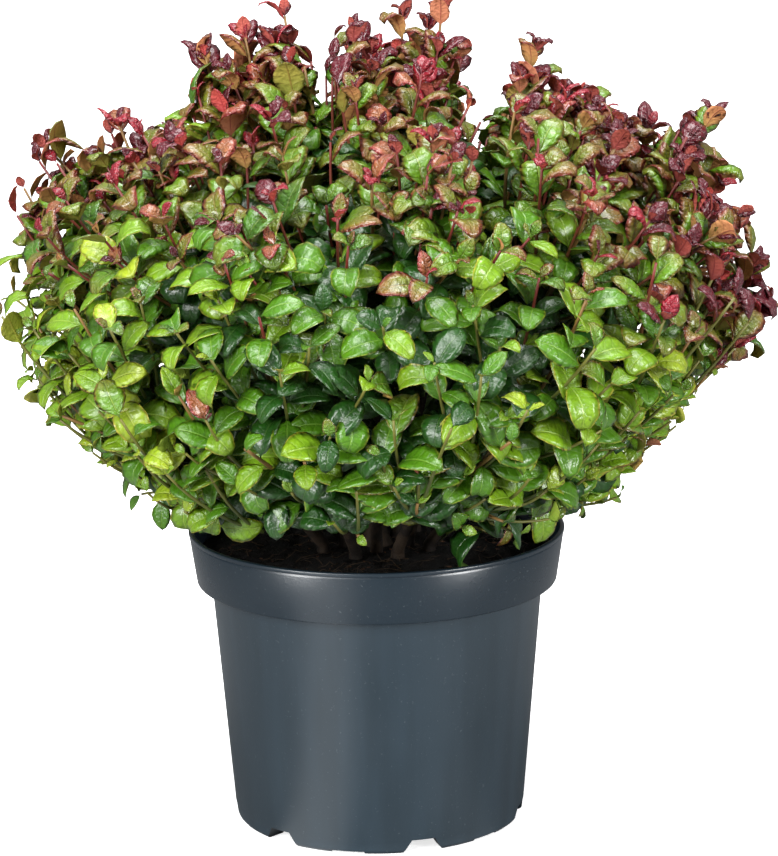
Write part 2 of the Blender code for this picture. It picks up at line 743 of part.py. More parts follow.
def make_mass(own, boughs, leaf, section, parts, material):
    """One mass of foliage: its stem, twigs and leaves, joined by one union."""
    chance = random.Random(f"{SEED}-{own.label}")
    pieces = bpy.data.collections.new(f"pieces_{own.label}")
    bpy.context.scene.collection.children.link(pieces)
    shoots = plan_shoots(own, boughs, chance)
    twigs = []
    for index, shoot in enumerate(shoots):
        segments = STEM_SEGMENTS if index == 0 else SHOOT_SEGMENTS
        curve = twig_curve(f"twig_{own.label}_{index}", shoot, segments, section)
        twigs.append(add_object(curve.name, curve, material, pieces))
    meshes = [twig_mesh(twig, material) for twig in twigs]
    for twig in twigs:
        bpy.data.objects.remove(twig)
    for mesh in meshes[1:]:
        add_object(mesh.name, mesh, material, pieces)
    leaf_count = 0
    twig_trees = [tree_of(mesh) for mesh in meshes]
    leaf_trees = []
    for index, shoot in enumerate(shoots):
        obstacles = twig_trees[:index] + twig_trees[index + 1 :] + leaf_trees
        others = len(obstacles)
        frames = plan_leaves(shoot, own, boughs, leaf, obstacles, chance)
        leaf_trees += obstacles[others:]
        for frame in frames:
            blade = bpy.data.objects.new(f"leaf_{own.label}_{leaf_count}", leaf)
            pieces.objects.link(blade)
            blade.matrix_world = frame
            leaf_count += 1
    mass = add_object(f"foliage_{own.label}", meshes[0], material, parts)
    join = mass.modifiers.new("join", "BOOLEAN")
    join.operation = "UNION"
    join.solver = "EXACT"
    join.operand_type = "COLLECTION"
    join.collection = pieces
    joined = applied_mesh(mass)
    mass.modifiers.clear()
    mass.data = joined
    keep_largest_body(joined)
    for piece in list(pieces.objects):
        bpy.data.objects.remove(piece)
    bpy.data.collections.remove(pieces)
    print(f"foliage_{own.label}: {len(shoots)} twigs, {leaf_count} leaves, {len(joined.polygons)} triangles")
    return leaf_count


def main():
    """Builds the pot, its compost, the clump's limbs and their masses of foliage."""
    for thing in list(bpy.data.objects):
        bpy.data.objects.remove(thing, do_unlink=True)
    scene_collection = bpy.context.scene.collection
    parts = bpy.data.collections.new(OBJECT_NAME)
    cutters = bpy.data.collections.new("cutters")
    guides = bpy.data.collections.new("guides")
    for collection in (parts, cutters, guides):
        scene_collection.children.link(collection)
    pot_plastic = surface("pot_plastic", POT_COLOUR, 0.42)
    compost = surface("compost", COMPOST_COLOUR, 0.95)
    bark = surface("bark", BARK_COLOUR, 0.80)
    old_leaves = surface("old_leaves", OLD_LEAF_COLOUR, 0.35)
    young_leaves = surface("young_leaves", YOUNG_LEAF_COLOUR, 0.35)
    make_pot(parts, cutters, pot_plastic)
    make_compost(parts, compost)
    make_short_stem(parts, bark)
    boughs = plan_boughs()
    for bough in boughs:
        make_bough(bough, parts, bark)
    section = triangle_section(guides)
    leaf = leaf_mesh(old_leaves)
    leaf_count = 0
    for bough in boughs:
        low = bough.label.startswith("outer")
        leaf_count += make_mass(bough, boughs, leaf, section, parts, old_leaves if low else young_leaves)
    bpy.data.meshes.remove(leaf)
    bpy.data.objects.remove(section)
    print(f"{leaf_count} leaves in {len(boughs)} masses")


main()
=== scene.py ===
"""Looks of the potted leucothoe: a curly-leaved evergreen shrub in a dark slate nursery pot.

The shrub grows on from its boughs by the rule that shaped its solids, carried on to finer twigs and to leaves of
the real size. Metres, +Z up, the pot's axis at the origin, and the side that faces the camera is -Y.
"""

import logging
import math
import random
from dataclasses import dataclass, field
from enum import Enum

import bmesh
import bpy
import numpy as np
from mathutils import Matrix, Vector, noise


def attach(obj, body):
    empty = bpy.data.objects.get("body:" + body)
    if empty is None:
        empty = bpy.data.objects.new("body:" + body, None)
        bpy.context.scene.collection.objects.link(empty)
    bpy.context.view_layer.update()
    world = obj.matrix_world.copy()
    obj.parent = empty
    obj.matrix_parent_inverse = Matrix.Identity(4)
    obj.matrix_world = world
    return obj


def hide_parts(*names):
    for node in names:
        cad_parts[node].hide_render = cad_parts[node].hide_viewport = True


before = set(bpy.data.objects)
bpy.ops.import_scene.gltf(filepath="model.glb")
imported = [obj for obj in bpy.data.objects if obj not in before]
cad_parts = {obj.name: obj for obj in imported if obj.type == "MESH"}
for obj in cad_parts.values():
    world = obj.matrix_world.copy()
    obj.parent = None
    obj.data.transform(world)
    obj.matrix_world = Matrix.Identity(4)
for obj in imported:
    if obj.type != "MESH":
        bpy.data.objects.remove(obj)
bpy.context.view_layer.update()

LOG = logging.getLogger("potted_leucothoe")
SEED = 41
GOLDEN_ANGLE = math.pi * (3.0 - math.sqrt(5.0))
IMAGE_HEIGHT = 856


def linear(red: int, green: int, blue: int) -> tuple[float, float, float, float]:
    """A display colour, 0 to 255, as linear light with full alpha."""
    channels = [value / 255.0 for value in (red, green, blue)]
    light = [c / 12.92 if c <= 0.04045 else ((c + 0.055) / 1.055) ** 2.4 for c in channels]
    return (light[0], light[1], light[2], 1.0)


class Nodes:
    """A short way to write a node tree: adds nodes, sets their values and links them."""

    def __init__(self, tree: bpy.types.NodeTree) -> None:
        """Works on one tree."""
        self.tree = tree

    def add(self, kind: str, **values: object) -> bpy.types.Node:
        """Adds a node.

        Args:
            kind: the node's type, without the ShaderNode prefix.
            **values: properties of the node to set.

        Returns:
            The new node.
        """
        node = self.tree.nodes.new(kind if kind.startswith("NodeGroup") else f"ShaderNode{kind}")
        for name, value in values.items():
            setattr(node, name, value)
        return node

    def feed(self, node: bpy.types.Node, socket: str | int, source: object) -> None:
        """Links a socket to another, or sets its value where the source is a number or a colour."""
        target = node.inputs[socket]
        if isinstance(source, bpy.types.NodeSocket):
            self.tree.links.new(source, target)
        else:
            target.default_value = source

    def math(self, operation: str, first: object, second: object = 0.0, third: object = 0.0) -> bpy.types.NodeSocket:
        """One Math node's result."""
        node = self.add("Math", operation=operation)
        for index, source in enumerate((first, second, third)):
            self.feed(node, index, source)
        return node.outputs[0]

    def blend(self, share: object, first: object, second: object) -> bpy.types.NodeSocket:
        """A colour between two others."""
        node = self.add("Mix", data_type="RGBA")
        self.feed(node, 0, share)
        self.feed(node, 6, first)
        self.feed(node, 7, second)
        return node.outputs[2]

    def smooth_range(self, value: object, low: float, high: float) -> bpy.types.NodeSocket:
        """0 below low, 1 above high and a smooth rise between them."""
        node = self.add("MapRange", interpolation_type="SMOOTHSTEP")
        self.feed(node, 0, value)
        self.feed(node, 1, low)
        self.feed(node, 2, high)
        return node.outputs[0]

    def noise(self, place: object, scale: float, detail: float = 3.0) -> bpy.types.NodeSocket:
        """A noise value over a place."""
        node = self.add("TexNoise")
        self.feed(node, "Vector", place)
        self.feed(node, "Scale", scale)
        self.feed(node, "Detail", detail)
        return node.outputs[0]


def new_group(name: str, inputs: dict[str, float], outputs: list[str]) -> tuple[bpy.types.NodeTree, Nodes]:
    """Starts a shader node group.

    Args:
        name: the group's name.
        inputs: its number inputs with their default values; a Place vector input is always added first.
        outputs: its value outputs.

    Returns:
        The group's tree, and a writer for it.
    """
    tree = bpy.data.node_groups.new(name, "ShaderNodeTree")
    tree.interface.new_socket("Place", in_out="INPUT", socket_type="NodeSocketVector")
    for label, value in inputs.items():
        socket = tree.interface.new_socket(label, in_out="INPUT", socket_type="NodeSocketFloat")
        socket.default_value = value
    for label in outputs:
        tree.interface.new_socket(label, in_out="OUTPUT", socket_type="NodeSocketFloat")
    return tree, Nodes(tree)


def blade_group() -> bpy.types.NodeTree:
    """The pattern of a puckered leaf over its own UV map.

    Returns:
        A group with the outputs Along, Across, Vein, Pucker and Mottle.
    """
    tree, nodes = new_group("leaf_blade", {"Vein Pairs": 6.0}, ["Along", "Across", "Vein", "Pucker", "Mottle"])
    source = nodes.add("NodeGroupInput")
    result = nodes.add("NodeGroupOutput")
    split = nodes.add("SeparateXYZ")
    nodes.feed(split, 0, source.outputs["Place"])
    half = nodes.math("FRACT", nodes.math("MULTIPLY", split.outputs[0], 2.0))
    across = nodes.math("ABSOLUTE", nodes.math("MULTIPLY", nodes.math("SUBTRACT", half, 0.5), 1.0 / BladeMap.WIDTH))
    along = nodes.math("DIVIDE", nodes.math("SUBTRACT", split.outputs[1], BladeMap.FOOT), BladeMap.LENGTH)
    slanted = nodes.math("SUBTRACT", along, nodes.math("MULTIPLY", across, 0.13))
    wave = nodes.math("MULTIPLY", nodes.math("MULTIPLY", slanted, source.outputs["Vein Pairs"]), math.pi)
    ripple = nodes.math("ABSOLUTE", nodes.math("SINE", wave))
    lateral = nodes.math("SUBTRACT", 1.0, nodes.smooth_range(ripple, 0.0, 0.28))
    midrib = nodes.math("SUBTRACT", 1.0, nodes.smooth_range(across, 0.02, 0.09))
    cells = nodes.add("TexVoronoi")
    nodes.feed(cells, "Vector", source.outputs["Place"])
    nodes.feed(cells, "Scale", 19.0)
    net = nodes.math("SUBTRACT", 0.6, cells.outputs["Distance"])
    body = nodes.math("MULTIPLY", nodes.math("POWER", ripple, 0.6), nodes.smooth_range(across, 0.0, 0.35))
    pucker = nodes.math("ADD", nodes.math("MULTIPLY", body, 0.6), nodes.math("MULTIPLY", net, 0.7))
    links = tree.links
    links.new(along, result.inputs["Along"])
    links.new(nodes.math("MAXIMUM", midrib, nodes.math("MULTIPLY", lateral, 0.45)), result.inputs["Vein"])
    links.new(nodes.math("SUBTRACT", pucker, nodes.math("MULTIPLY", midrib, 0.7)), result.inputs["Pucker"])
    links.new(across, result.inputs["Across"])
    links.new(nodes.noise(source.outputs["Place"], 9.0, 3.0), result.inputs["Mottle"])
    return tree


def grain_group() -> bpy.types.NodeTree:
    """Fine grain over a place, at two sizes.

    Returns:
        A group with the outputs Coarse, Fine and Specks.
    """
    tree, nodes = new_group("grain", {"Coarse Scale": 30.0, "Fine Scale": 300.0}, ["Coarse", "Fine", "Specks"])
    source = nodes.add("NodeGroupInput")
    result = nodes.add("NodeGroupOutput")
    place = source.outputs["Place"]
    tree.links.new(nodes.noise(place, source.outputs["Coarse Scale"], 4.0), result.inputs["Coarse"])
    fine = nodes.noise(place, source.outputs["Fine Scale"], 3.0)
    tree.links.new(fine, result.inputs["Fine"])
    tree.links.new(nodes.smooth_range(fine, 0.66, 0.74), result.inputs["Specks"])
    return tree


class BladeMap:
    """Where a leaf's two sides lie in its UV map: its face in the left half and its underside in the right."""

    WIDTH = 0.46
    FOOT = 0.02
    LENGTH = 0.96
    FACE_CENTRE = 0.25
    UNDERSIDE_CENTRE = 0.75


def material_with(name: str, roughness: object = 0.5) -> tuple[bpy.types.Material, Nodes, bpy.types.Node]:
    """A new node material.

    Args:
        name: the material's name.
        roughness: its plain roughness.

    Returns:
        The material, a writer for its nodes and its shader.
    """
    material = bpy.data.materials.new(name)
    material.use_nodes = True
    shader = material.node_tree.nodes["Principled BSDF"]
    shader.inputs["Roughness"].default_value = roughness
    return material, Nodes(material.node_tree), shader


@dataclass(frozen=True)
class LeafFinish:
    """The finish of one kind of leaf: the colours of its face and underside, its veins and its gloss."""

    name: str
    face: tuple[float, float, float, float]
    face_tip: tuple[float, float, float, float]
    vein: tuple[float, float, float, float]
    underside: tuple[float, float, float, float]
    margin: tuple[float, float, float, float]
    margin_share: float = 0.5
    relief: float = 0.0006
    roughness: float = 0.30
    margin_start: float = 0.84
    coat: float = 0.35
    coat_roughness: float = 0.20

    def face_material(self, blade: bpy.types.NodeTree) -> bpy.types.Material:
        """The glossy upper side, darkened with painted shade in the hollows between its puckers.

        Args:
            blade: the leaf pattern group.

        Returns:
            The material.
        """
        material, nodes, shader = material_with(f"{self.name}_face", self.roughness)
        uv = nodes.add("UVMap", uv_map="OFBake")
        pattern = nodes.add("Group", node_tree=blade)
        nodes.feed(pattern, "Place", uv.outputs[0])
        tipped = nodes.blend(nodes.smooth_range(pattern.outputs["Along"], 0.45, 1.0), self.face, self.face_tip)
        mottled = nodes.blend(nodes.math("MULTIPLY", pattern.outputs["Mottle"], 0.5), tipped, self.face)
        # Painted shade: the low parts of the puckered face, in the net between the puckers, are darkened.
        pucker_shade_mask = nodes.math("SUBTRACT", 1.0, nodes.smooth_range(pattern.outputs["Pucker"], 0.15, 0.75))
        painted_shade_colour = (0.38 * self.face[0], 0.45 * self.face[1], 0.45 * self.face[2], 1.0)
        netted = nodes.blend(nodes.math("MULTIPLY", pucker_shade_mask, 0.34), mottled, painted_shade_colour)
        veined = nodes.blend(nodes.math("MULTIPLY", pattern.outputs["Vein"], 0.42), netted, self.vein)
        rim = nodes.smooth_range(pattern.outputs["Across"], self.margin_start, 1.0)
        edge = nodes.math("MULTIPLY", rim, self.margin_share)
        edged = nodes.blend(edge, veined, self.margin)
        nodes.feed(shader, "Base Color", edged)
        gloss = nodes.add("MapRange")
        nodes.feed(gloss, 0, pattern.outputs["Mottle"])
        nodes.feed(gloss, 3, self.roughness - 0.07)
        nodes.feed(gloss, 4, self.roughness + 0.10)
        nodes.feed(shader, "Roughness", gloss.outputs[0])
        shader.inputs["Coat Weight"].default_value = self.coat
        shader.inputs["Coat Roughness"].default_value = self.coat_roughness
        bump = nodes.add("Bump")
        nodes.feed(bump, "Strength", 0.9)
        nodes.feed(bump, "Distance", self.relief)
        nodes.feed(bump, "Height", pattern.outputs["Pucker"])
        nodes.feed(shader, "Normal", bump.outputs[0])
        return material

    def underside_material(self, blade: bpy.types.NodeTree) -> bpy.types.Material:
        """The paler, duller underside: partly its own paler colour and partly painted light that stands in for light
        shining through the leaf.

        Args:
            blade: the leaf pattern group.

        Returns:
            The material.
        """
        material, nodes, shader = material_with(f"{self.name}_underside", 0.55)
        uv = nodes.add("UVMap", uv_map="OFBake")
        pattern = nodes.add("Group", node_tree=blade)
        nodes.feed(pattern, "Place", uv.outputs[0])
        # Painted light: the underside colours are made paler, partly for light shining through the leaf.
        foot = tuple(0.55 * near + 0.45 * far for near, far in zip(self.face, self.underside))
        grown = nodes.blend(nodes.smooth_range(pattern.outputs["Along"], 0.05, 0.80), foot, self.underside)
        veined = nodes.blend(nodes.math("MULTIPLY", pattern.outputs["Vein"], 0.60), grown, self.margin)
        nodes.feed(shader, "Base Color", veined)
        shader.inputs["Specular IOR Level"].default_value = 0.35
        bump = nodes.add("Bump", invert=True)
        nodes.feed(bump, "Strength", 0.6)
        nodes.feed(bump, "Distance", 0.0009)
        nodes.feed(bump, "Height", pattern.outputs["Pucker"])
        nodes.feed(shader, "Normal", bump.outputs[0])
        return material


class Tint(Enum):
    """The kinds of leaf, from the oldest inside the crown to the youngest at the red shoot tips."""

    DEEP = LeafFinish(
        "deep_green", linear(28, 70, 16), linear(34, 76, 18), linear(70, 108, 42), linear(92, 122, 50),
        linear(70, 100, 38), 0.5, 0.0005, 0.32,
    )
    LEAF = LeafFinish(
        "leaf_green", linear(70, 118, 16), linear(82, 126, 18), linear(126, 168, 58), linear(146, 168, 60),
        linear(150, 162, 52), 0.7, 0.0005, 0.32,
    )
    FRESH = LeafFinish(
        "fresh_green", linear(108, 148, 22), linear(124, 152, 26), linear(160, 188, 74), linear(180, 182, 72),
        linear(190, 172, 66), 0.7, 0.0005, 0.32,
    )
    LIME = LeafFinish(
        "lime_green", linear(146, 172, 36), linear(160, 172, 44), linear(188, 202, 92), linear(200, 198, 88),
        linear(206, 184, 78), 0.7, 0.0006, 0.32,
    )
    NETTED = LeafFinish(
        "netted_green", linear(66, 112, 18), linear(92, 104, 26), linear(128, 160, 60), linear(170, 158, 72),
        linear(134, 98, 44), 0.5, 0.0012, 0.28, 0.78, 0.5, 0.12,
    )
    OLIVE = LeafFinish(
        "olive_green", linear(92, 134, 24), linear(122, 104, 36), linear(152, 172, 70), linear(186, 152, 80),
        linear(140, 76, 44), 0.6, 0.0010, 0.30, 0.74, 0.5, 0.12,
    )
    BRONZE = LeafFinish(
        "bronze", linear(106, 116, 30), linear(132, 58, 44), linear(164, 138, 72), linear(214, 144, 98),
        linear(128, 40, 46), 0.9, 0.0013, 0.28, 0.42, 0.5, 0.12,
    )
    SALMON = LeafFinish(
        "salmon", linear(146, 88, 50), linear(134, 44, 50), linear(186, 124, 92), linear(228, 148, 114),
        linear(148, 44, 54), 0.8, 0.0013, 0.28, 0.38, 0.5, 0.12,
    )
    BURGUNDY = LeafFinish(
        "burgundy", linear(92, 18, 32), linear(90, 15, 34), linear(136, 50, 58), linear(196, 98, 86),
        linear(118, 28, 42), 0.6, 0.0014, 0.26, 0.70, 0.5, 0.12,
    )
    CRIMSON = LeafFinish(
        "crimson", linear(142, 22, 40), linear(148, 26, 44), linear(176, 62, 68), linear(204, 88, 80),
        linear(172, 42, 54), 0.5, 0.0012, 0.28, 0.70, 0.4, 0.15,
    )


def join_object(name: str, mesh: bpy.types.Mesh, materials: list[bpy.types.Material]) -> bpy.types.Object:
    """A mesh as an object of the scene, wearing its materials."""
    for material in materials:
        mesh.materials.append(material)
    thing = bpy.data.objects.new(name, mesh)
    bpy.context.scene.collection.objects.link(thing)
    return thing


def array_mesh(
    name: str, points: np.ndarray, faces: np.ndarray, uvs: np.ndarray | None, slots: np.ndarray | None
) -> bpy.types.Mesh:
    """A mesh of four-cornered faces from arrays, shaded smooth.

    Args:
        name: the mesh's name.
        points: its vertices, one row each.
        faces: its faces, four vertex numbers each; a repeated last number makes a triangle.
        uvs: a UV pair for each corner of each face, or None.
        slots: a material number for each face, or None.

    Returns:
        The mesh.
    """
    mesh = bpy.data.meshes.new(name)
    triangle = faces[:, 3] == faces[:, 2]
    counts = np.where(triangle, 3, 4)
    keep = np.ones(faces.shape, bool)
    keep[:, 3] = ~triangle
    corners = faces[keep]
    mesh.vertices.add(len(points))
    mesh.vertices.foreach_set("co", points.astype(np.float32).ravel())
    mesh.loops.add(len(corners))
    mesh.loops.foreach_set("vertex_index", corners.astype(np.int32))
    mesh.polygons.add(len(faces))
    mesh.polygons.foreach_set("loop_start", np.concatenate([[0], np.cumsum(counts)[:-1]]).astype(np.int32))
    mesh.polygons.foreach_set("use_smooth", np.ones(len(faces), bool))
    if slots is not None:
        mesh.polygons.foreach_set("material_index", slots.astype(np.int32))
    if uvs is not None:
        layer = mesh.uv_layers.new(name="OFBake")
        layer.data.foreach_set("uv", uvs[keep].astype(np.float32).ravel())
    mesh.update(calc_edges=True)
    mesh.validate()
    return mesh


def piece(thing: bpy.types.Object, nodes: list[str] | None = None) -> bpy.types.Object:
    """Declares a finished piece of the model.

    Args:
        thing: the piece.
        nodes: the solids it stands for.

    Returns:
        The piece.
    """
    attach(thing, "root")
    if nodes:
        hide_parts(*nodes)
    triangles = sum(len(face.vertices) - 2 for face in thing.data.polygons)
    LOG.info("%s: %d triangles", thing.name, triangles)
    return thing


def towards(lean: float, azimuth: float) -> Vector:
    """The direction at a lean from the vertical and an azimuth round Z."""
    return Vector((math.sin(lean) * math.cos(azimuth), math.sin(lean) * math.sin(azimuth), math.cos(lean)))


def bezier(start: Vector, handle: Vector, end: Vector, share: float) -> Vector:
    """A point on a quadratic curve."""
    return start.lerp(handle, share).lerp(handle.lerp(end, share), share)


@dataclass
class Bough:
    """One bough: its foot, the cone it feeds and its path up to the foliage."""

    label: str
    way: Vector
    tip: Vector
    path: list[Vector]
    radii: list[float]

    def distance_to(self, point: Vector) -> float:
        """How far a point is from the bough's bark."""
        nearest = math.inf
        for start, end, radius in zip(self.path, self.path[1:], self.radii):
            run = end - start
            share = max(0.0, min(1.0, (point - start).dot(run) / run.length_squared))
            nearest = min(nearest, (start + run * share - point).length - radius)
        return nearest


@dataclass
class Shoot:
    """A twig's curve, the direction of its tip from the hub and how far along it its leaves begin."""

    start: Vector
    handle: Vector
    end: Vector
    way: Vector
    level: int
    foot_radius: float
    tip_radius: float
    leafy_end: float = 1.0

    def point(self, share: float) -> Vector:
        """A point along the twig."""
        return bezier(self.start, self.handle, self.end, share)

    def tangent(self, share: float) -> Vector:
        """The twig's direction at a point along it."""
        return (self.handle - self.start).lerp(self.end - self.handle, share).normalized()

    def length(self) -> float:
        """The twig's length, measured over eight chords."""
        knots = [self.point(step / 8) for step in range(9)]
        return sum((b - a).length for a, b in zip(knots, knots[1:]))


@dataclass
class Growth:
    """The rule by which the shrub grows, with the same sizes as its solids.

    The finer twigs are this script's own: they fork from the rule's shoots and end on the same outline.
    """

    compost_top: float = 0.1700
    touch_gap: float = 0.0003
    pot_height: float = 0.182
    outline: tuple[tuple[float, float], ...] = (
        (0.0, 0.308),
        (30.0, 0.296),
        (46.0, 0.306),
        (56.0, 0.286),
        (63.0, 0.255),
        (71.0, 0.202),
        (79.0, 0.164),
        (90.0, 0.126),
    )
    right_side_fullness: float = 0.035
    lowest_lean: float = 88.0
    leaders: tuple[tuple[float, float, float], ...] = (
        (10.6, 150.6, 0.332),
        (2.6, 223.6, 0.321),
        (12.9, 73.3, 0.327),
        (8.5, 24.2, 0.331),
        (19.5, 16.2, 0.322),
        (27.6, 12.2, 0.306),
        (35.6, 12.0, 0.310),
        (38.4, 357.3, 0.336),
        (45.3, 345.0, 0.312),
        (53.5, 352.0, 0.298),
        (18.7, 174.4, 0.321),
        (14.1, 169.1, 0.325),
        (8.0, 166.9, 0.316),
        (30.7, 180.0, 0.308),
        (39.0, 172.0, 0.321),
        (45.4, 172.0, 0.312),
        (23.5, 95.8, 0.315),
        (38.0, 120.0, 0.316),
        (32.4, 36.8, 0.311),
        (35.1, 57.7, 0.309),
        (52.0, 95.0, 0.302),
        (34.0, 285.0, 0.318),
        (42.0, 250.0, 0.316),
        (27.7, 205.1, 0.304),
        (23.5, 12.0, 0.303),
        (30.0, 353.0, 0.302),
    )
    dips: tuple[tuple[float, float, float, float], ...] = (
        (-0.108, 0.018, 0.050, 40.0),
        (0.238, 0.022, 0.046, 40.0),
        (-0.420, 0.035, 0.010, 50.0),
        (0.470, 0.050, 0.004, 50.0),
        (0.755, 0.035, 0.012, 56.0),
        (-0.715, 0.040, 0.012, 56.0),
    )
    leader_width: float = math.radians(3.7)
    leader_slack: float = 0.009
    leader_droop: float = 2.0
    outline_slack: tuple[float, float] = (0.001, 0.009)
    shoulder_leans: tuple[float, float] = (45.0, 65.0)
    stem_height: float = 0.024
    rings: tuple[tuple[str, int, float, float, float, float], ...] = (
        ("inner", 5, math.radians(31.0), math.radians(270.0), 0.0205, 0.126),
        ("outer", 9, math.radians(63.0), math.radians(250.0), 0.0370, 0.096),
    )
    top_reach: float = 0.130
    bough_foot_radius: float = 0.0038
    bough_tip_radius: float = 0.0022
    bough_upright_foot: float = 0.004
    bough_bend: float = 0.55
    bough_segments: int = 4
    cone_margin: float = 0.0002
    shoot_count: int = 84
    reach_range: tuple[float, float] = (0.93, 1.0)
    lowest_fork: float = 0.04
    highest_fork: float = 0.62
    straightest_fork: float = 0.70
    fork_spread: float = math.radians(34.0)
    fork_scatter: tuple[float, float] = (-0.03, 0.05)
    shoot_rise: float = 0.9
    shoot_bend: float = 0.45
    shoot_radius: float = 0.0017
    over_rim: float = 0.008
    solid_short_of_outline: float = 0.036
    leaf_size_range: tuple[float, float] = (0.85, 1.05)
    tip_short_of_outline: tuple[float, float] = (0.006, 0.015)
    fine_count: int = 480
    fine_reach_range: tuple[float, float] = (0.90, 1.03)
    inner_count: int = 210
    inner_reach_range: tuple[float, float] = (0.42, 0.78)
    companion_count: int = 9
    companion_angle: float = math.radians(3.7)
    companion_reach_range: tuple[float, float] = (0.91, 0.99)
    leader_sway: float = 0.008
    fine_sway: float = 0.035
    highest_lift: float = 0.042
    fine_fork_depth: float = 0.40
    least_apart: float = 0.0155
    leaders_least_apart: float = 0.0125
    tip_above_edge: float = 0.012
    skirt_height: float = 0.188
    skirt_radius: float = 0.133
    skirt_slope: float = 0.95
    front_height: float = 0.197
    front_slope: float = 0.20
    front_start: float = 0.10
    front_ragged: float = 0.009
    right_bulge: float = 0.014
    right_bulge_place: float = 0.200
    right_bulge_width: float = 0.020
    left_drop: float = 0.008
    left_drop_place: float = 0.135
    left_drop_width: float = 0.016
    right_front_rise: float = 0.22
    left_gap_place: float = 0.131
    left_gap_width: float = 0.008
    left_gap_top: float = 0.218
    left_gap_back: float = 0.05
    boughs: list[Bough] = field(default_factory=list)
    shoots: list[Shoot] = field(default_factory=list)

    @property
    def hub(self) -> Vector:
        """The middle of the compost's top, from which the crown is measured."""
        return Vector((0.0, 0.0, self.compost_top))

    def outline_reach(self, way: Vector) -> float:
        """How far the crown's leaf tips reach from the hub in a direction."""
        lean = math.degrees(math.acos(max(-1.0, min(1.0, way.z))))
        reach = self.outline[-1][1]
        for (low, reach_low), (high, reach_high) in zip(self.outline, self.outline[1:]):
            if lean <= high:
                reach = reach_low + (reach_high - reach_low) * (lean - low) / (high - low)
                break
        return reach * (1.0 + self.right_side_fullness * way.x)

    def plan_boughs(self) -> None:
        """Plans the clump's boughs: one in the middle, an inner ring and an outer ring."""
        stem_top = Vector((0.0, 0.0, self.compost_top + self.stem_height + 2 * self.touch_gap))
        self.boughs = [self.bough("top", 0.0, 0.0, stem_top, self.top_reach)]
        for ring, count, lean, first, foot_ring, reach in self.rings:
            for index in range(count):
                azimuth = first + index * math.tau / count
                foot = Vector((math.cos(azimuth), math.sin(azimuth), 0.0)) * foot_ring
                foot.z = self.compost_top + self.touch_gap
                self.boughs.append(self.bough(f"{ring}_{index + 1:02d}", lean, azimuth, foot, reach))

    def bough(self, label: str, lean: float, azimuth: float, foot: Vector, reach: float) -> Bough:
        """One bough from its foot to the reach where its foliage begins."""
        way = towards(lean, azimuth)
        tip = self.hub + way * reach
        upright = foot + Vector((0.0, 0.0, self.bough_upright_foot))
        handle = tip - way * self.bough_bend * (tip - upright).length
        steps = self.bough_segments
        path = [foot] + [bezier(upright, handle, tip, step / steps) for step in range(steps + 1)]
        last = len(path) - 1
        slope = self.bough_tip_radius - self.bough_foot_radius
        radii = [self.bough_foot_radius + slope * step / last for step in range(last + 1)]
        return Bough(label, way, tip, path, radii)

    def in_own_cone(self, point: Vector, own: Bough, margin: float) -> bool:
        """Does a point lie nearer to its own bough's direction than to any other's, by a margin?"""
        offset = point - self.hub
        for other in self.boughs:
            if other is own:
                continue
            across = own.way - other.way
            if offset.dot(across) / across.length < margin:
                return False
        return True

    def shoot_tips(self) -> list[tuple[Vector, float]]:
        """Directions and reaches of the rule's shoots: a spiral over the crown, and the leaders."""
        tips = self.spiral_tips(self.shoot_count, self.reach_range, random.Random(SEED))
        for lean, azimuth, reach in self.leaders:
            tips.append((towards(math.radians(lean), math.radians(azimuth)), reach))
        return tips

    def spiral_tips(
        self, count: int, reach_range: tuple[float, float], chance: random.Random
    ) -> list[tuple[Vector, float]]:
        """Tips spread evenly over the crown by the golden angle.

        Args:
            count: how many tips.
            reach_range: the range of their shares of the outline's reach.
            chance: the source of that scatter.

        Returns:
            Each tip's direction and reach.
        """
        lowest = math.cos(math.radians(self.lowest_lean))
        tips = []
        for index in range(count):
            height = 1.0 - (1.0 - lowest) * (index + 0.5) / count
            way = towards(math.acos(height), index * GOLDEN_ANGLE)
            tips.append((way, self.outline_reach(way) * chance.uniform(*reach_range)))
        return tips

    def low_edge(self, x: np.ndarray | float, y: np.ndarray | float) -> np.ndarray | float:
        """How low the foliage hangs at a place: higher away from the pot, and in front of its mouth."""
        radius = np.hypot(x, y)
        around = self.skirt_height + self.skirt_slope * np.maximum(0.0, radius - self.skirt_radius)
        around = around + self.right_bulge * np.exp(-(((x - self.right_bulge_place) / self.right_bulge_width) ** 2))
        around = around - self.left_drop * np.exp(-(((x + self.left_drop_place) / self.left_drop_width) ** 2))
        around = around + self.right_front_rise * np.maximum(0.0, -y) * np.clip((x - 0.165) / 0.03, 0.0, 1.0)
        front = self.front_height + self.front_slope * np.maximum(0.0, -y - self.front_start)
        front = front + self.front_ragged * np.sin(70.0 * x + 0.6) * np.sin(187.0 * x)
        azimuth = np.arctan2(y, x)
        ragged = 0.006 * np.sin(9.0 * azimuth + 1.0) + 0.005 * np.sin(23.0 * azimuth)
        return np.where(y < -0.03, np.maximum(around, front), around) + ragged

    def nearest_bough(self, way: Vector) -> Bough:
        """The bough whose cone holds a direction."""
        return max(self.boughs, key=lambda bough: bough.way.dot(way))

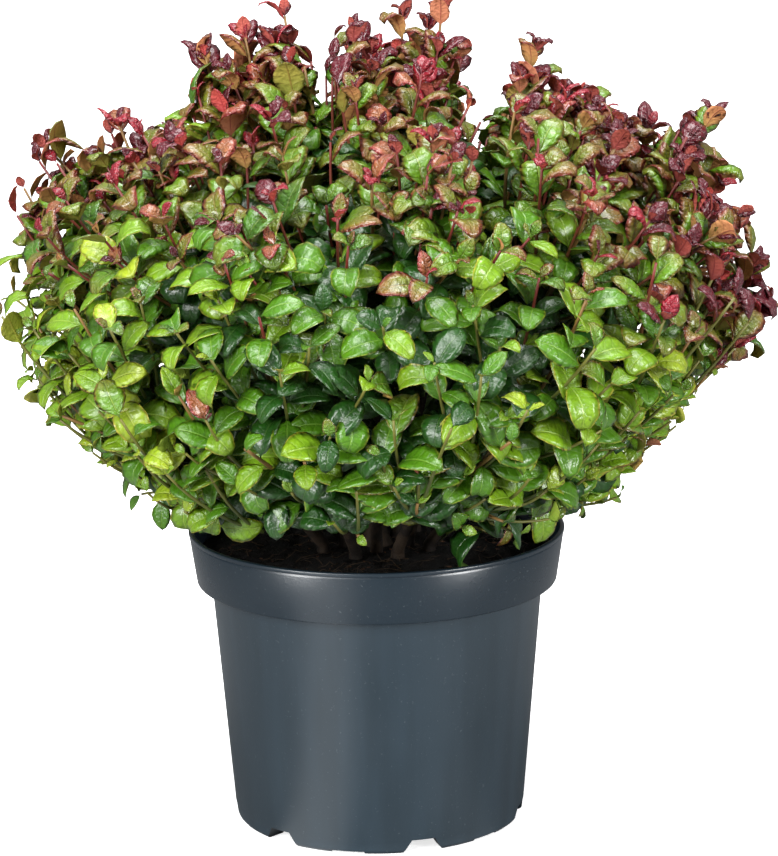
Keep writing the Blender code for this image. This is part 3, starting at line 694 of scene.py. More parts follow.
    def plan_shoots(self) -> None:
        """Plans every mass's stem and shoots as the solids have them, each carried on to the outline."""
        for own in self.boughs:
            chance = random.Random(f"{SEED}-{own.label}")
            start = own.tip + own.way * self.touch_gap
            stem_end = self.hub + own.way * (self.outline_reach(own.way) - self.solid_short_of_outline)
            stem = Shoot(start, (start + stem_end) / 2, stem_end, own.way, 0, self.bough_tip_radius, 0.0009)
            for way, reach in self.shoot_tips():
                if self.nearest_bough(way) is not own:
                    continue
                end = self.hub + way * (reach - self.solid_short_of_outline)
                end.z = max(end.z, self.pot_height + self.over_rim)
                fork = self.straightest_fork - way.angle(own.way) / self.fork_spread
                fork = max(self.lowest_fork, min(self.highest_fork, fork)) + chance.uniform(*self.fork_scatter)
                root = stem.point(fork)
                rise = (way + Vector((0.0, 0.0, self.shoot_rise))).normalized()
                handle = end - rise * self.shoot_bend * (end - root).length
                margin = self.cone_margin + self.shoot_radius
                if not self.in_own_cone(handle, own, margin):
                    handle = root.lerp(end, 0.5)
                chance.uniform(*self.leaf_size_range)
                shoot = Shoot(root, handle, end, way, 1, 0.0016, 0.0008)
                if self.in_own_cone(end, own, margin) and self.clears(shoot):
                    onward = self.solid_short_of_outline - self.tip_short(way)
                    shoot.end = end + (end - handle).normalized() * onward * 0.5 + way * onward * 0.5
                    self.lift_over_edge(shoot.end)
                    self.lift_over_edge(shoot.handle)
                    self.shoots.append(shoot)
            onward = self.solid_short_of_outline - self.tip_short(own.way)
            stem.end = stem_end + own.way * onward
            self.shoots.append(stem)

    def tip_short(self, way: Vector) -> float:
        """How far short of the outline a twig ends, so that its leaves reach it."""
        lean = math.degrees(math.acos(max(-1.0, min(1.0, way.z))))
        return float(np.interp(lean, self.shoulder_leans, self.tip_short_of_outline))

    def lift_over_edge(self, end: Vector) -> None:
        """Lifts a twig's end above the crown's lower edge."""
        end.z = max(end.z, float(self.low_edge(end.x, end.y)) + self.tip_above_edge)

    def clears(self, shoot: Shoot) -> bool:
        """Is a twig clear of every bough, past the stretch where it leaves its stem?"""
        places = [shoot.point(0.1 * step) for step in range(3, 11)]
        nearest = min(bough.distance_to(place) for bough in self.boughs for place in places)
        return nearest > self.shoot_radius + self.touch_gap

    def companion_tips(self, chance: random.Random) -> list[tuple[Vector, float]]:
        """Directions and reaches of the shoots that stand round each leader."""
        tips = []
        for lean, azimuth, reach in self.leaders:
            leader = towards(math.radians(lean), math.radians(azimuth))
            aside = leader.orthogonal().normalized() * math.tan(self.companion_angle)
            tips.append((leader, reach))
            for index in range(self.companion_count):
                turn = Matrix.Rotation(index * GOLDEN_ANGLE + azimuth, 3, leader)
                way = (leader + turn @ aside * chance.uniform(0.55, 1.0)).normalized()
                tips.append((way, reach * chance.uniform(*self.companion_reach_range)))
        return tips

    def plan_fine_shoots(self) -> None:
        """Carries the rule on to finer twigs, each forking from the nearest shoot of its own mass."""
        chance = random.Random(SEED + 1)
        parents: dict[str, list[tuple[Vector, Shoot, float]]] = {bough.label: [] for bough in self.boughs}
        for shoot in self.shoots:
            label = self.nearest_bough(shoot.way).label
            for step in range(1, 9):
                share = step / 10
                parents[label].append((shoot.point(share), shoot, share))
        taken = [shoot.end.copy() for shoot in self.shoots]
        near_leaders = self.companion_tips(chance)
        tips = near_leaders + self.spiral_tips(self.fine_count, self.fine_reach_range, chance)
        tips += self.spiral_tips(self.inner_count, self.inner_reach_range, chance)
        for index, (way, reach) in enumerate(tips):
            sway = Vector((chance.uniform(-1, 1), chance.uniform(-1, 1), chance.uniform(-1, 1)))
            way = (way + sway * (self.leader_sway if index < len(near_leaders) else self.fine_sway)).normalized()
            end = self.hub + way * (reach - self.tip_short(way))
            height = end.z
            self.lift_over_edge(end)
            apart = min((end - other).length for other in taken)
            least_apart = self.leaders_least_apart if index < len(near_leaders) else self.least_apart
            if apart < least_apart or end.z - height > self.highest_lift:
                continue
            taken.append(end)
            goal = self.hub + way * (reach * (1.0 - self.fine_fork_depth))
            places = parents[self.nearest_bough(way).label]
            root, parent, share = min(places, key=lambda place: (place[0] - goal).length)
            rise = (way + Vector((0.0, 0.0, self.shoot_rise * chance.uniform(0.5, 1.2)))).normalized()
            handle = end - rise * self.shoot_bend * (end - root).length
            handle = handle.lerp(root + parent.tangent(share) * 0.3 * (end - root).length, 0.35)
            self.lift_over_edge(handle)
            self.shoots.append(Shoot(root, handle, end, way, 2, 0.0013, 0.0008))


@dataclass
class Twigs:
    """The twigs as joined round tubes, green-brown below and red towards the tips of the young ones."""

    rings: int = 9
    sides: int = 6

    def build(self, growth: Growth, finishes: "Finishes") -> None:
        """Makes the older and the younger twigs, each kind one piece."""
        kinds = {
            "twigs_main": ([s for s in growth.shoots if s.level < 2], finishes.old_twig),
            "twigs_fine_low": ([s for s in growth.shoots if s.level == 2 and s.end.z <= 0.36], finishes.green_twig),
            "twigs_fine_high": ([s for s in growth.shoots if s.level == 2 and s.end.z > 0.36], finishes.red_twig),
        }
        for name, (shoots, material) in kinds.items():
            points, faces, uvs = [], [], []
            for shoot in shoots:
                tube_points, tube_faces, tube_uvs = self.tube(shoot)
                faces.append(tube_faces + sum(len(p) for p in points))
                points.append(tube_points)
                uvs.append(tube_uvs)
            mesh = array_mesh(name, np.concatenate(points), np.concatenate(faces), np.concatenate(uvs), None)
            thing = join_object(name, mesh, [material])
            piece(thing)

    def tube(self, shoot: Shoot) -> tuple[np.ndarray, np.ndarray, np.ndarray]:
        """One twig's points, faces and corner UVs, closed at both ends."""
        shares = np.linspace(0.0, shoot.leafy_end, self.rings)
        path = np.array([shoot.point(share) for share in shares])
        radii = shoot.foot_radius + (shoot.tip_radius - shoot.foot_radius) * shares
        return tube_arrays(path, radii, self.sides)


def tube_arrays(path: np.ndarray, radii: np.ndarray, sides: int) -> tuple[np.ndarray, np.ndarray, np.ndarray]:
    """A closed round tube along a path.

    Args:
        path: its knots, one row each.
        radii: its radius at each knot.
        sides: how many sides it has.

    Returns:
        Its points, its faces and a UV pair for each corner of each face.
    """
    run = np.gradient(path, axis=0)
    run /= np.linalg.norm(run, axis=1)[:, None]
    first = np.cross(run[0], [0.31, 0.87, 0.38])
    first /= np.linalg.norm(first)
    across = np.empty_like(path)
    for index, direction in enumerate(run):
        first = first - direction * first.dot(direction)
        first /= np.linalg.norm(first)
        across[index] = first
    up = np.cross(run, across)
    angles = np.arange(sides) * math.tau / sides
    circle = across[:, None] * np.cos(angles)[:, None] + up[:, None] * np.sin(angles)[:, None]
    points = (path[:, None] + circle * radii[:, None, None]).reshape(-1, 3)
    points = np.concatenate([points, path[:1], path[-1:]])
    ring = np.arange(len(path) - 1)[:, None] * sides
    near = np.arange(sides)[None]
    far = (near + 1) % sides
    quads = np.stack([ring + near, ring + far, ring + sides + far, ring + sides + near], -1).reshape(-1, 4)
    foot, tip = len(points) - 2, len(points) - 1
    last = (len(path) - 1) * sides
    near, far = near[0], far[0]
    ends = np.full(sides, foot)
    low = np.stack([far, near, ends, ends], -1)
    ends = np.full(sides, tip)
    high = np.stack([last + near, last + far, ends, ends], -1)
    faces = np.concatenate([quads, low, high])
    along = np.repeat(np.linspace(0.02, 0.98, len(path)), sides)
    around = np.tile(np.arange(sides) / sides, len(path))
    knots = np.concatenate([np.stack([around, along], -1), [[0.5, 0.0], [0.5, 1.0]]])
    return points, faces, knots[faces]


@dataclass
class LeafShape:
    """The net of a leaf: its rows from stalk to tip, its columns from edge to edge, and its outline."""

    rows: tuple[float, ...] = (0.0, 0.10, 0.20, 0.35, 0.53, 0.71, 0.87, 1.0)
    half_widths: tuple[float, ...] = (0.0, 0.08, 0.52, 0.89, 1.0, 0.86, 0.49, 0.0)
    columns: tuple[float, ...] = (-1.0, -0.52, 0.0, 0.52, 1.0)
    thickness: float = 0.00035

    def template(self) -> tuple[np.ndarray, ...]:
        """The leaf's net.

        Returns:
            Each vertex's place along the blade, its place across it, its half width there, its side (1 face,
            0 margin, -1 underside), then the faces, their corner UVs and their material numbers.
        """
        corners: list[tuple[float, float, float, int]] = []
        numbers: dict[tuple[int, int, int], int] = {}
        last_row, last_column = len(self.rows) - 1, len(self.columns) - 1
        for sheet in (1, -1):
            for row, along in enumerate(self.rows):
                for column, across in enumerate(self.columns):
                    at_end = row in (0, last_row)
                    at_edge = at_end or column in (0, last_column)
                    if at_edge and sheet == -1:
                        numbers[sheet, row, column] = numbers[1, row, column]
                    elif at_end and column > 0:
                        numbers[sheet, row, column] = numbers[sheet, row, 0]
                    else:
                        numbers[sheet, row, column] = len(corners)
                        corners.append((along, 0.0 if at_end else across, self.half_widths[row], 0 if at_edge else sheet))
        faces, uvs, slots = [], [], []
        for sheet in (1, -1):
            for row in range(last_row):
                for column in range(last_column):
                    net = [(row, column), (row + 1, column), (row + 1, column + 1), (row, column + 1)]
                    net = net if sheet == 1 else [net[0], *net[:0:-1]]
                    ring = {numbers[sheet, r, c]: self.blade_place(sheet, r, c) for r, c in net}
                    ids, places = list(ring), list(ring.values())
                    if len(ids) == 3:
                        ids.append(ids[-1])
                        places.append(places[-1])
                    faces.append(ids)
                    uvs.append(places)
                    slots.append(0 if sheet == 1 else 1)
        along, across, half, side = np.array(corners).T
        return along, across, half, side, np.array(faces), np.array(uvs), np.array(slots)

    def blade_place(self, sheet: int, row: int, column: int) -> tuple[float, float]:
        """Where a corner of the net lies in the leaf's UV map."""
        centre = BladeMap.FACE_CENTRE if sheet == 1 else BladeMap.UNDERSIDE_CENTRE
        return (
            centre + 0.5 * BladeMap.WIDTH * self.columns[column],
            BladeMap.FOOT + BladeMap.LENGTH * self.rows[row],
        )


@dataclass
class LeafPlan:
    """One leaf: where it grows, how it lies and how it curls."""

    shoot: Shoot
    share: float
    place: Vector
    length_way: Vector
    face_way: Vector
    length: float
    width: float
    lift: float
    curl: float
    curl_power: float
    keel: float
    edge_drop: float
    twist: float
    ruffle: float
    phase: float
    tint: Tint


@dataclass(frozen=True)
class Stray:
    """A single leaf seen in the photograph: its twig's foot, its stalk, where it points and faces, and its looks."""

    root: tuple[float, float, float]
    place: tuple[float, float, float]
    length_way: tuple[float, float, float]
    face_way: tuple[float, float, float]
    length: float
    curl: float
    tint: Tint


@dataclass
class Leaves:
    """All leaves of the shrub, joined in pieces by tint, at most 1,600 leaves to a piece.

    A shoot ends in a tuft of small young leaves; below it the leaves are grown, spaced and recurved. The red flush
    runs down from the tip, far on the shoots at the top and on the right, and hardly at all lower down.
    """

    growth: Growth
    shape: LeafShape = field(default_factory=LeafShape)
    spacing: float = 0.0086
    leafy_length: float = 0.080
    full_length: float = 0.0315
    widest: float = 0.0183
    smallest: float = 0.36
    young_count: tuple[float, float] = (2.0, 4.4)
    flush_heights: tuple[float, float] = (0.320, 0.480)
    flush_lower_outward: tuple[float, float] = (0.34, 0.85)
    longest_flush: float = 0.048
    shortest_flush: float = 0.001
    bud_share: float = 0.06
    tinged_share: float = 0.20
    netted_share: float = 0.80
    # Painted light and shade: paler tints towards the crown's left and right sides, darker ones towards its middle and
    # higher up.
    painted_light_and_youth_gain: float = 0.62
    middle_shade: float = 0.34
    inner_spacing: float = 0.014
    most_in_piece: int = 1600
    fewest: int = 4
    strays: tuple[Stray, ...] = (
        Stray(
            (0.037, -0.004, 0.172), (0.064, -0.088, 0.200), (-0.93, -0.34, -0.12), (0.10, -0.35, 0.93),
            0.040, 170.0, Tint.DEEP,
        ),
        Stray(
            (0.060, -0.030, 0.195), (0.094, -0.066, 0.214), (0.42, -0.34, -0.84), (0.50, -0.74, 0.46),
            0.034, 90.0, Tint.FRESH,
        ),
        Stray(
            (0.060, -0.030, 0.195), (0.086, -0.066, 0.217), (-0.66, -0.60, -0.35), (-0.20, -0.40, 0.89),
            0.030, 70.0, Tint.LEAF,
        ),
        Stray(
            (0.060, -0.030, 0.195), (0.078, -0.078, 0.203), (0.05, -0.25, -0.97), (0.80, -0.50, 0.22),
            0.020, 90.0, Tint.BRONZE,
        ),
        Stray(
            (-0.085, -0.020, 0.206), (-0.1289, -0.020, 0.2062), (-0.12, -0.15, -0.98), (-0.25, -0.92, 0.22),
            0.0225, 35.0, Tint.LEAF,
        ),
        Stray(
            (-0.105, -0.020, 0.206), (-0.142, -0.020, 0.2080), (-0.75, -0.10, -0.60), (-0.40, -0.60, 0.70),
            0.014, 60.0, Tint.LEAF,
        ),
        Stray(
            (-0.105, -0.020, 0.206), (-0.1336, -0.020, 0.2075), (0.10, -0.20, 0.97), (-0.10, -0.90, -0.10),
            0.012, 50.0, Tint.DEEP,
        ),
        Stray(
            (-0.100, -0.020, 0.206), (-0.1215, -0.020, 0.2070), (0.25, -0.20, 0.95), (0.10, -0.90, -0.10),
            0.012, 50.0, Tint.LEAF,
        ),
        Stray(
            (-0.095, -0.020, 0.206), (-0.1150, -0.020, 0.2050), (0.10, -0.20, -0.97), (0.10, -0.90, 0.10),
            0.009, 50.0, Tint.LEAF,
        ),
    )
    plans: list[LeafPlan] = field(default_factory=list)

    def plan(self) -> None:
        """Plans the leaves of every shoot."""
        chance = random.Random(SEED + 2)
        for shoot in self.growth.shoots:
            self.plan_shoot(shoot, chance)

    def topness(self, place: Vector) -> float:
        """0 low in the crown, 1 at its top, counted higher towards its left and right edges."""
        low, high = self.flush_heights
        lowered = self.flush_lower_outward[place.x > 0.0] * max(0.0, abs(place.x) - 0.08)
        share = max(0.0, min(1.0, (place.z + lowered - low) / (high - low)))
        return share * share * (3.0 - 2.0 * share)

    def flush(self, shoot: Shoot, chance: random.Random) -> float:
        """How far down from its tip a shoot is flushed red."""
        share = self.topness(shoot.end) ** 2
        length = self.shortest_flush + (self.longest_flush - self.shortest_flush) * share
        if chance.random() < self.bud_share:
            length += 0.008
        return length * chance.uniform(0.30, 1.35)

    def tint(
        self, distance: float, flush: float, depth: float, height: float, light: float, chance: random.Random
    ) -> Tint:
        """A leaf's tint.

        Args:
            distance: how far it stands below the shoot's tip.
            flush: how far down the shoot is flushed red.
            depth: how deep inside the crown it is, 0 to 1; deeper leaves get darker tints, partly the real darker green
                of older leaves and partly painted shade.
            height: 0 for a leaf low in the crown, 1 for one at its top.
            light: painted light, how much paler the tints are made where more light falls: most at the left and right
                sides, less in the middle and higher up, and more for young leaves, which are really paler.
            chance: the source of its scatter.

        Returns:
            The tint.
        """
        age = (distance + 0.002) / flush * chance.uniform(0.8, 1.25)
        pick = chance.random()
        if age < 0.22:
            return Tint.CRIMSON if pick < 0.25 + 0.35 * (1.0 - height) else Tint.BURGUNDY
        if age < 0.48:
            return Tint.BURGUNDY if pick < 0.22 else Tint.SALMON if pick < 0.50 else Tint.BRONZE
        if age < 1.0:
            return Tint.BRONZE if pick < 0.62 else Tint.OLIVE
        if age < 1.8:
            return Tint.OLIVE if pick < 0.50 else Tint.NETTED
        if chance.random() < self.tinged_share * (0.2 + height):
            return Tint.OLIVE
        # Painted light and shade: paler tints where light is higher, darker ones deeper inside; young leaves are really
        # paler.
        green = pick + self.painted_light_and_youth_gain * light - 1.1 * depth
        if chance.random() < self.netted_share * height**2:
            return Tint.NETTED
        if green > 1.00:
            return Tint.LIME
        if green > 0.52:
            return Tint.FRESH
        return Tint.LEAF if green > 0.04 else Tint.DEEP

    def plan_shoot(self, shoot: Shoot, chance: random.Random) -> None:
        """Plans one shoot's leaves from its tip down, then the sparse older ones along the rest of it."""
        length = shoot.length()
        flush = self.flush(shoot, chance)
        around = chance.uniform(0.0, math.tau)
        vigour = chance.uniform(0.88, 1.10)
        leafy = min(self.leafy_length, 0.90 * length)
        distance = 0.0
        index = 0
        while distance < (leafy if shoot.level == 2 else 0.94 * length):
            share = 1.0 - distance / length
            place = shoot.point(share)
            top = self.topness(place)
            young_count = self.young_count[0] + (self.young_count[1] - self.young_count[0]) * top
            youth = (1.0 - self.smallest) * max(0.0, 1.0 - index / young_count)
            around += GOLDEN_ANGLE + chance.uniform(-0.3, 0.3)
            spread = math.radians(22.0 + (38.0 - 16.0 * top) * (1.0 - youth) + chance.uniform(-10.0, 16.0))
            outward = (place - self.growth.hub).normalized()
            depth = 1.0 - (place - self.growth.hub).length / (0.88 * self.growth.outline_reach(outward))
            # Painted light and shade: paler towards the left and right sides, darker in the middle and from the lower
            # crown up; young leaves are really paler.
            light = min(1.0, abs(place.x) / 0.14) - 0.38 + 0.5 * youth
            light -= self.middle_shade * max(0.0, min(1.0, (place.z - 0.25) / 0.08))
            size = (1.0 - youth) * vigour * (1.0 + 0.08 * top) * chance.uniform(0.84, 1.12)
            plan = self.lay(shoot, share, around, spread, outward, chance.uniform(0.0, 0.45 - 0.2 * top))
            plan.length = self.full_length * size
            plan.width = self.widest * size * chance.uniform(0.92, 1.08)
            plan.lift = math.radians(chance.uniform(-24.0, 0.0) - 16.0 * top)
            curl = chance.uniform(35.0, 165.0) + top * chance.uniform(10.0, 100.0)
            plan.curl = math.radians(curl * (1.0 - 0.7 * youth))
            plan.curl_power = 1.5 + 1.3 * top
            plan.keel = chance.uniform(0.0, 0.4) + 0.4 * top + 0.2 * youth
            plan.edge_drop = chance.uniform(-0.45, 0.05) + 0.40 * top
            plan.twist = math.radians(chance.uniform(-26.0, 26.0)) * (1.0 + youth)
            plan.ruffle = chance.uniform(0.0, 0.02) + 0.08 * youth
            plan.phase = chance.uniform(0.0, math.tau)
            plan.tint = self.tint(distance, flush, max(0.0, min(1.0, depth * 2.5)), top, light, chance)
            self.plans.append(plan)
            step = self.spacing if distance < leafy else self.inner_spacing
            distance += step * max(0.15, 1.0 - 1.6 * youth) * chance.uniform(0.85, 1.15)
            index += 1

    def lay(
        self, shoot: Shoot, share: float, around: float, spread: float, outward: Vector, turned: float
    ) -> LeafPlan:
        """Lays a leaf on its shoot, spread from it and turned by a share to the light."""
        stalk = shoot.tangent(share)
        side = stalk.orthogonal().normalized()
        side.rotate(Matrix.Rotation(around, 3, stalk))
        way = (stalk * math.cos(spread) + side * math.sin(spread)).normalized()
        face = stalk - way * stalk.dot(way)
        light = outward * 0.7 + Vector((0.0, 0.0, 0.8))
        light -= way * light.dot(way)
        face = (face.normalized() + light * turned).normalized()
        return LeafPlan(shoot, share, shoot.point(share), way, face, *[0.0] * 10, Tint.LEAF)

    def prune(self) -> None:
        """Drops the leaves outside the crown, then ends each shoot at its last leaf and drops the bare ones."""
        along, across, half, side = self.shape.template()[:4]
        fitting = self.fits(self.vertices(self.plans, along, across, half, side))
        self.plans = [plan for plan, fit in zip(self.plans, fitting) if fit]
        for shoot in self.growth.shoots:
            shares = [plan.share for plan in self.plans if plan.shoot is shoot]
            shoot.leafy_end = max(shares) if len(shares) >= self.fewest and self.covered(shoot) else 0.0
        self.plans = [plan for plan in self.plans if plan.shoot.leafy_end > 0.0]
        self.growth.shoots = [shoot for shoot in self.growth.shoots if shoot.leafy_end > 0.0]

    def covered(self, shoot: Shoot) -> bool:
        """Does a shoot's whole length lie within the crown's outline?"""
        knots = np.array([[shoot.point(share) for share in np.linspace(0.0, 0.9, 7)]])
        return bool(self.within(knots).all())

    def add_strays(self) -> None:
        """Adds the leaves that hang alone below the crown, each on a thin twig."""
        for stray in self.strays:
            root, place = Vector(stray.root), Vector(stray.place)
            handle = root.lerp(place, 0.5) + Vector((0.0, 0.0, 0.12 * (root - place).length))
            shoot = Shoot(root, handle, place, (place - self.growth.hub).normalized(), 2, 0.0012, 0.0008)
            self.growth.shoots.append(shoot)
            way, face = Vector(stray.length_way).normalized(), Vector(stray.face_way)
            face = (face - way * face.dot(way)).normalized()
            width = self.widest / self.full_length * stray.length
            curl = math.radians(stray.curl)
            sizes = (stray.length, width, 0.0, curl, 1.5, 0.3, -0.1, 0.1, 0.01, 0.0)
            self.plans.append(LeafPlan(shoot, 1.0, place, way, face, *sizes, stray.tint))

    def vertices(
        self, plans: list[LeafPlan], along: np.ndarray, across: np.ndarray, half: np.ndarray, side: np.ndarray
    ) -> np.ndarray:
        """The vertices of many leaves at once.

        Args:
            plans: the leaves.
            along: each vertex's place along the blade, 0 to 1.
            across: its place across the blade, -1 to 1.
            half: the blade's half width there, as a share of its widest.
            side: 1 on the face, -1 on the underside, 0 on the margin.

        Returns:
            One row of vertices for each leaf.
        """
        sizes = ("length", "width", "lift", "curl", "curl_power", "keel", "edge_drop", "twist", "ruffle", "phase")
        table = {name: np.array([getattr(plan, name) for plan in plans])[:, None] for name in sizes}
        steps = np.linspace(0.0, 1.0, 41)
        bend = table["lift"] + table["curl"] * steps[None] ** table["curl_power"]
        run = np.cumsum(np.cos(bend), axis=1) / len(steps)
        drop = np.cumsum(np.sin(bend), axis=1) / len(steps)
        run -= run[:, :1]
        drop -= drop[:, :1]
        index = np.round(along * (len(steps) - 1)).astype(int)
        angle = bend[:, index]
        x = run[:, index] * table["length"]
        z = -drop[:, index] * table["length"]
        reach = 0.5 * table["width"] * half[None]
        out = np.abs(across[None])
        y = reach * across[None] * (1.0 - 0.10 * table["keel"])
        arch = reach * (table["keel"] * out - (table["keel"] + table["edge_drop"]) * out**2)
        wave = np.sin(along[None] * 5.3 * math.pi + table["phase"] + 1.3 * np.sign(across[None]))
        arch += table["ruffle"] * wave * out**1.5 * table["width"] * half[None]
        arch += side[None] * 0.5 * self.shape.thickness
        turn = table["twist"] * along[None]
        y, arch = y * np.cos(turn) - arch * np.sin(turn), y * np.sin(turn) + arch * np.cos(turn)
        x = x + arch * np.sin(angle)
        z = z + arch * np.cos(angle)
        length_way = np.array([plan.length_way for plan in plans])[:, None]
        face_way = np.array([plan.face_way for plan in plans])[:, None]
        width_way = np.cross(face_way, length_way)
        place = np.array([plan.place for plan in plans])[:, None]
        return place + x[..., None] * length_way + y[..., None] * width_way + z[..., None] * face_way

    def fits(self, points: np.ndarray) -> np.ndarray:
        """Which leaves stay within the crown's outline and above its lower edge."""
        growth = self.growth
        above = points[..., 2] > growth.low_edge(points[..., 0], points[..., 1])
        aside = np.abs(points[..., 0] + growth.left_gap_place) < growth.left_gap_width
        in_gap = aside & (points[..., 2] < growth.left_gap_top) & (points[..., 1] < growth.left_gap_back)
        return (above & ~in_gap & self.within(points)).all(axis=1)

    def within(self, points: np.ndarray) -> np.ndarray:
        """Which points lie within the crown's outline, with its leaders and the dips between them."""
        growth = self.growth
        offset = points - np.array(growth.hub)
        reach = np.linalg.norm(offset, axis=-1)
        ways = offset / reach[..., None]
        lean = np.degrees(np.arccos(np.clip(ways[..., 2], -1.0, 1.0)))
        leans, reaches = np.array(growth.outline).T
        allowed = np.interp(lean, leans, reaches) * (1.0 + growth.right_side_fullness * ways[..., 0])
        slack = np.interp(lean, growth.shoulder_leans, growth.outline_slack[::-1])
        for leader_lean, azimuth, leader_reach in growth.leaders:
            leader = np.array(towards(math.radians(leader_lean), math.radians(azimuth)))
            near = (ways @ leader > math.cos(growth.leader_width)) & (lean < leader_lean + growth.leader_droop)
            allowed = np.where(near, np.maximum(allowed, leader_reach + growth.leader_slack - slack), allowed)
        for place, width, depth, lowest in growth.dips:
            allowed = allowed - depth * np.exp(-(((ways[..., 0] - place) / width) ** 2)) * (lean < lowest)
        return reach < allowed + slack

    def build(self, finishes: "Finishes", masses: list[str]) -> None:
        """Makes pieces of joined leaves for each tint, at most 1,600 leaves to a piece.

        Args:
            finishes: the materials.
            masses: the foliage solids that the leaves stand for.
        """
        along, across, half, side, faces, uvs, slots = self.shape.template()
        for tint in Tint:
            plans = [plan for plan in self.plans if plan.tint is tint]
            points = self.vertices(plans, along, across, half, side)
            LOG.info("%s: %d leaves", tint.value.name, len(points))
            for part, batch in enumerate(np.array_split(points, math.ceil(len(points) / self.most_in_piece))):
                count, size = batch.shape[:2]
                all_faces = (faces[None] + (np.arange(count) * size)[:, None, None]).reshape(-1, 4)
                all_uvs = np.broadcast_to(uvs, (count, *uvs.shape)).reshape(-1, 4, 2)
                name = f"leaves_{tint.value.name}_{part + 1}"
                mesh = array_mesh(name, batch.reshape(-1, 3), all_faces, all_uvs, np.tile(slots, count))
                piece(join_object(name, mesh, list(finishes.leaf[tint])), masses)


@dataclass
class Limbs:
    """The boughs and the short stem, with the relief of their bark."""

    growth: Growth
    sides: int = 14
    rings: int = 26
    relief: float = 0.00045

    def build(self, finishes: "Finishes") -> None:
        """Makes one piece for each bough, and one for the short stem."""
        for bough in self.growth.boughs:
            thing = self.limb(f"bark_{bough.label}", self.smooth_path(bough), finishes.bark)
            piece(thing, [f"bough_{bough.label}"])
        piece(self.short_stem(finishes.bark), ["short_stem"])

    def smooth_path(self, bough: Bough) -> list[tuple[Vector, float]]:
        """The bough's path in short steps, with its radius at each."""
        foot, upright = bough.path[0], bough.path[1]
        handle = bough.tip - bough.way * self.growth.bough_bend * (bough.tip - upright).length
        knots = [foot] + [bezier(upright, handle, bough.tip, step / self.rings) for step in range(self.rings + 1)]
        last = len(knots) - 1
        slope = self.growth.bough_tip_radius - self.growth.bough_foot_radius
        radii = [self.growth.bough_foot_radius + slope * step / last for step in range(last + 1)]
        radii[0] *= 1.12
        return list(zip(knots, radii))

    def limb(
        self, name: str, knots: list[tuple[Vector, float]], material: bpy.types.Material
    ) -> bpy.types.Object:
        """A limb drawn out ring by ring from a circle, its bark then roughened.

        Args:
            name: the piece's name.
            knots: the path's places with their radii.
            material: the bark.

        Returns:
            The limb.
        """
        bm = bmesh.new()
        made = bmesh.ops.create_circle(bm, cap_ends=True, segments=self.sides, radius=1.0)
        ring = made["verts"]
        home = [corner.co.copy() for corner in ring]
        top = bm.faces[:] if bm.faces else []
        facing = Vector((0.0, 0.0, 1.0))
        turn = Matrix.Identity(3)
        places = [place for place, _ in knots]
        for index, (place, radius) in enumerate(knots):
            ahead = places[min(index + 1, len(places) - 1)] - places[max(index - 1, 0)]
            if index == 0:
                ahead = places[1] - places[0]
            turn = facing.rotation_difference(ahead.normalized()).to_matrix() @ turn
            facing = ahead.normalized()
            if index > 0:
                made = bmesh.ops.extrude_discrete_faces(bm, faces=top)
                top = made["faces"]
                ring = self.in_order(top[0], ring)
            for corner, start in zip(ring, home):
                corner.co = place + turn @ (start * radius)
        self.roughen(bm)
        return self.finish(name, bm, material)

    def in_order(self, face: bmesh.types.BMFace, ring: list[bmesh.types.BMVert]) -> list[bmesh.types.BMVert]:
        """The face's corners in the order of the ring that it was drawn from."""
        return [min(face.verts, key=lambda corner: (corner.co - old.co).length_squared) for old in ring]

    def roughen(self, bm: bmesh.types.BMesh) -> None:
        """Moves the bark's vertices along their normals by a noise drawn out along the limb."""
        bm.normal_update()
        moves = []
        for corner in bm.verts:
            place = Vector((corner.co.x * 520.0, corner.co.y * 520.0, corner.co.z * 120.0))
            moves.append(corner.normal * noise.noise(place) * self.relief)
        for corner, move in zip(bm.verts, moves):
            corner.co += move

    def finish(self, name: str, bm: bmesh.types.BMesh, material: bpy.types.Material) -> bpy.types.Object:
        """Closes a limb's bmesh as a smooth object."""
        bmesh.ops.recalc_face_normals(bm, faces=bm.faces)
        for face in bm.faces:
            face.smooth = len(face.verts) == 4
        mesh = bpy.data.meshes.new(name)
        bm.to_mesh(mesh)
        bm.free()
        return join_object(name, mesh, [material])

    def short_stem(self, material: bpy.types.Material) -> bpy.types.Object:
        """The clump's short middle stem, flared at the compost."""
        foot = self.growth.compost_top + self.growth.touch_gap
        height = self.growth.stem_height
        knots = []
        for step in range(17):
            share = step / 16
            flare = 0.0045 * (1.0 - share) ** 3
            knots.append((Vector((0.0, 0.0, foot + height * share)), 0.0062 - 0.0010 * share + flare))
        return self.limb("bark_short_stem", knots, material)


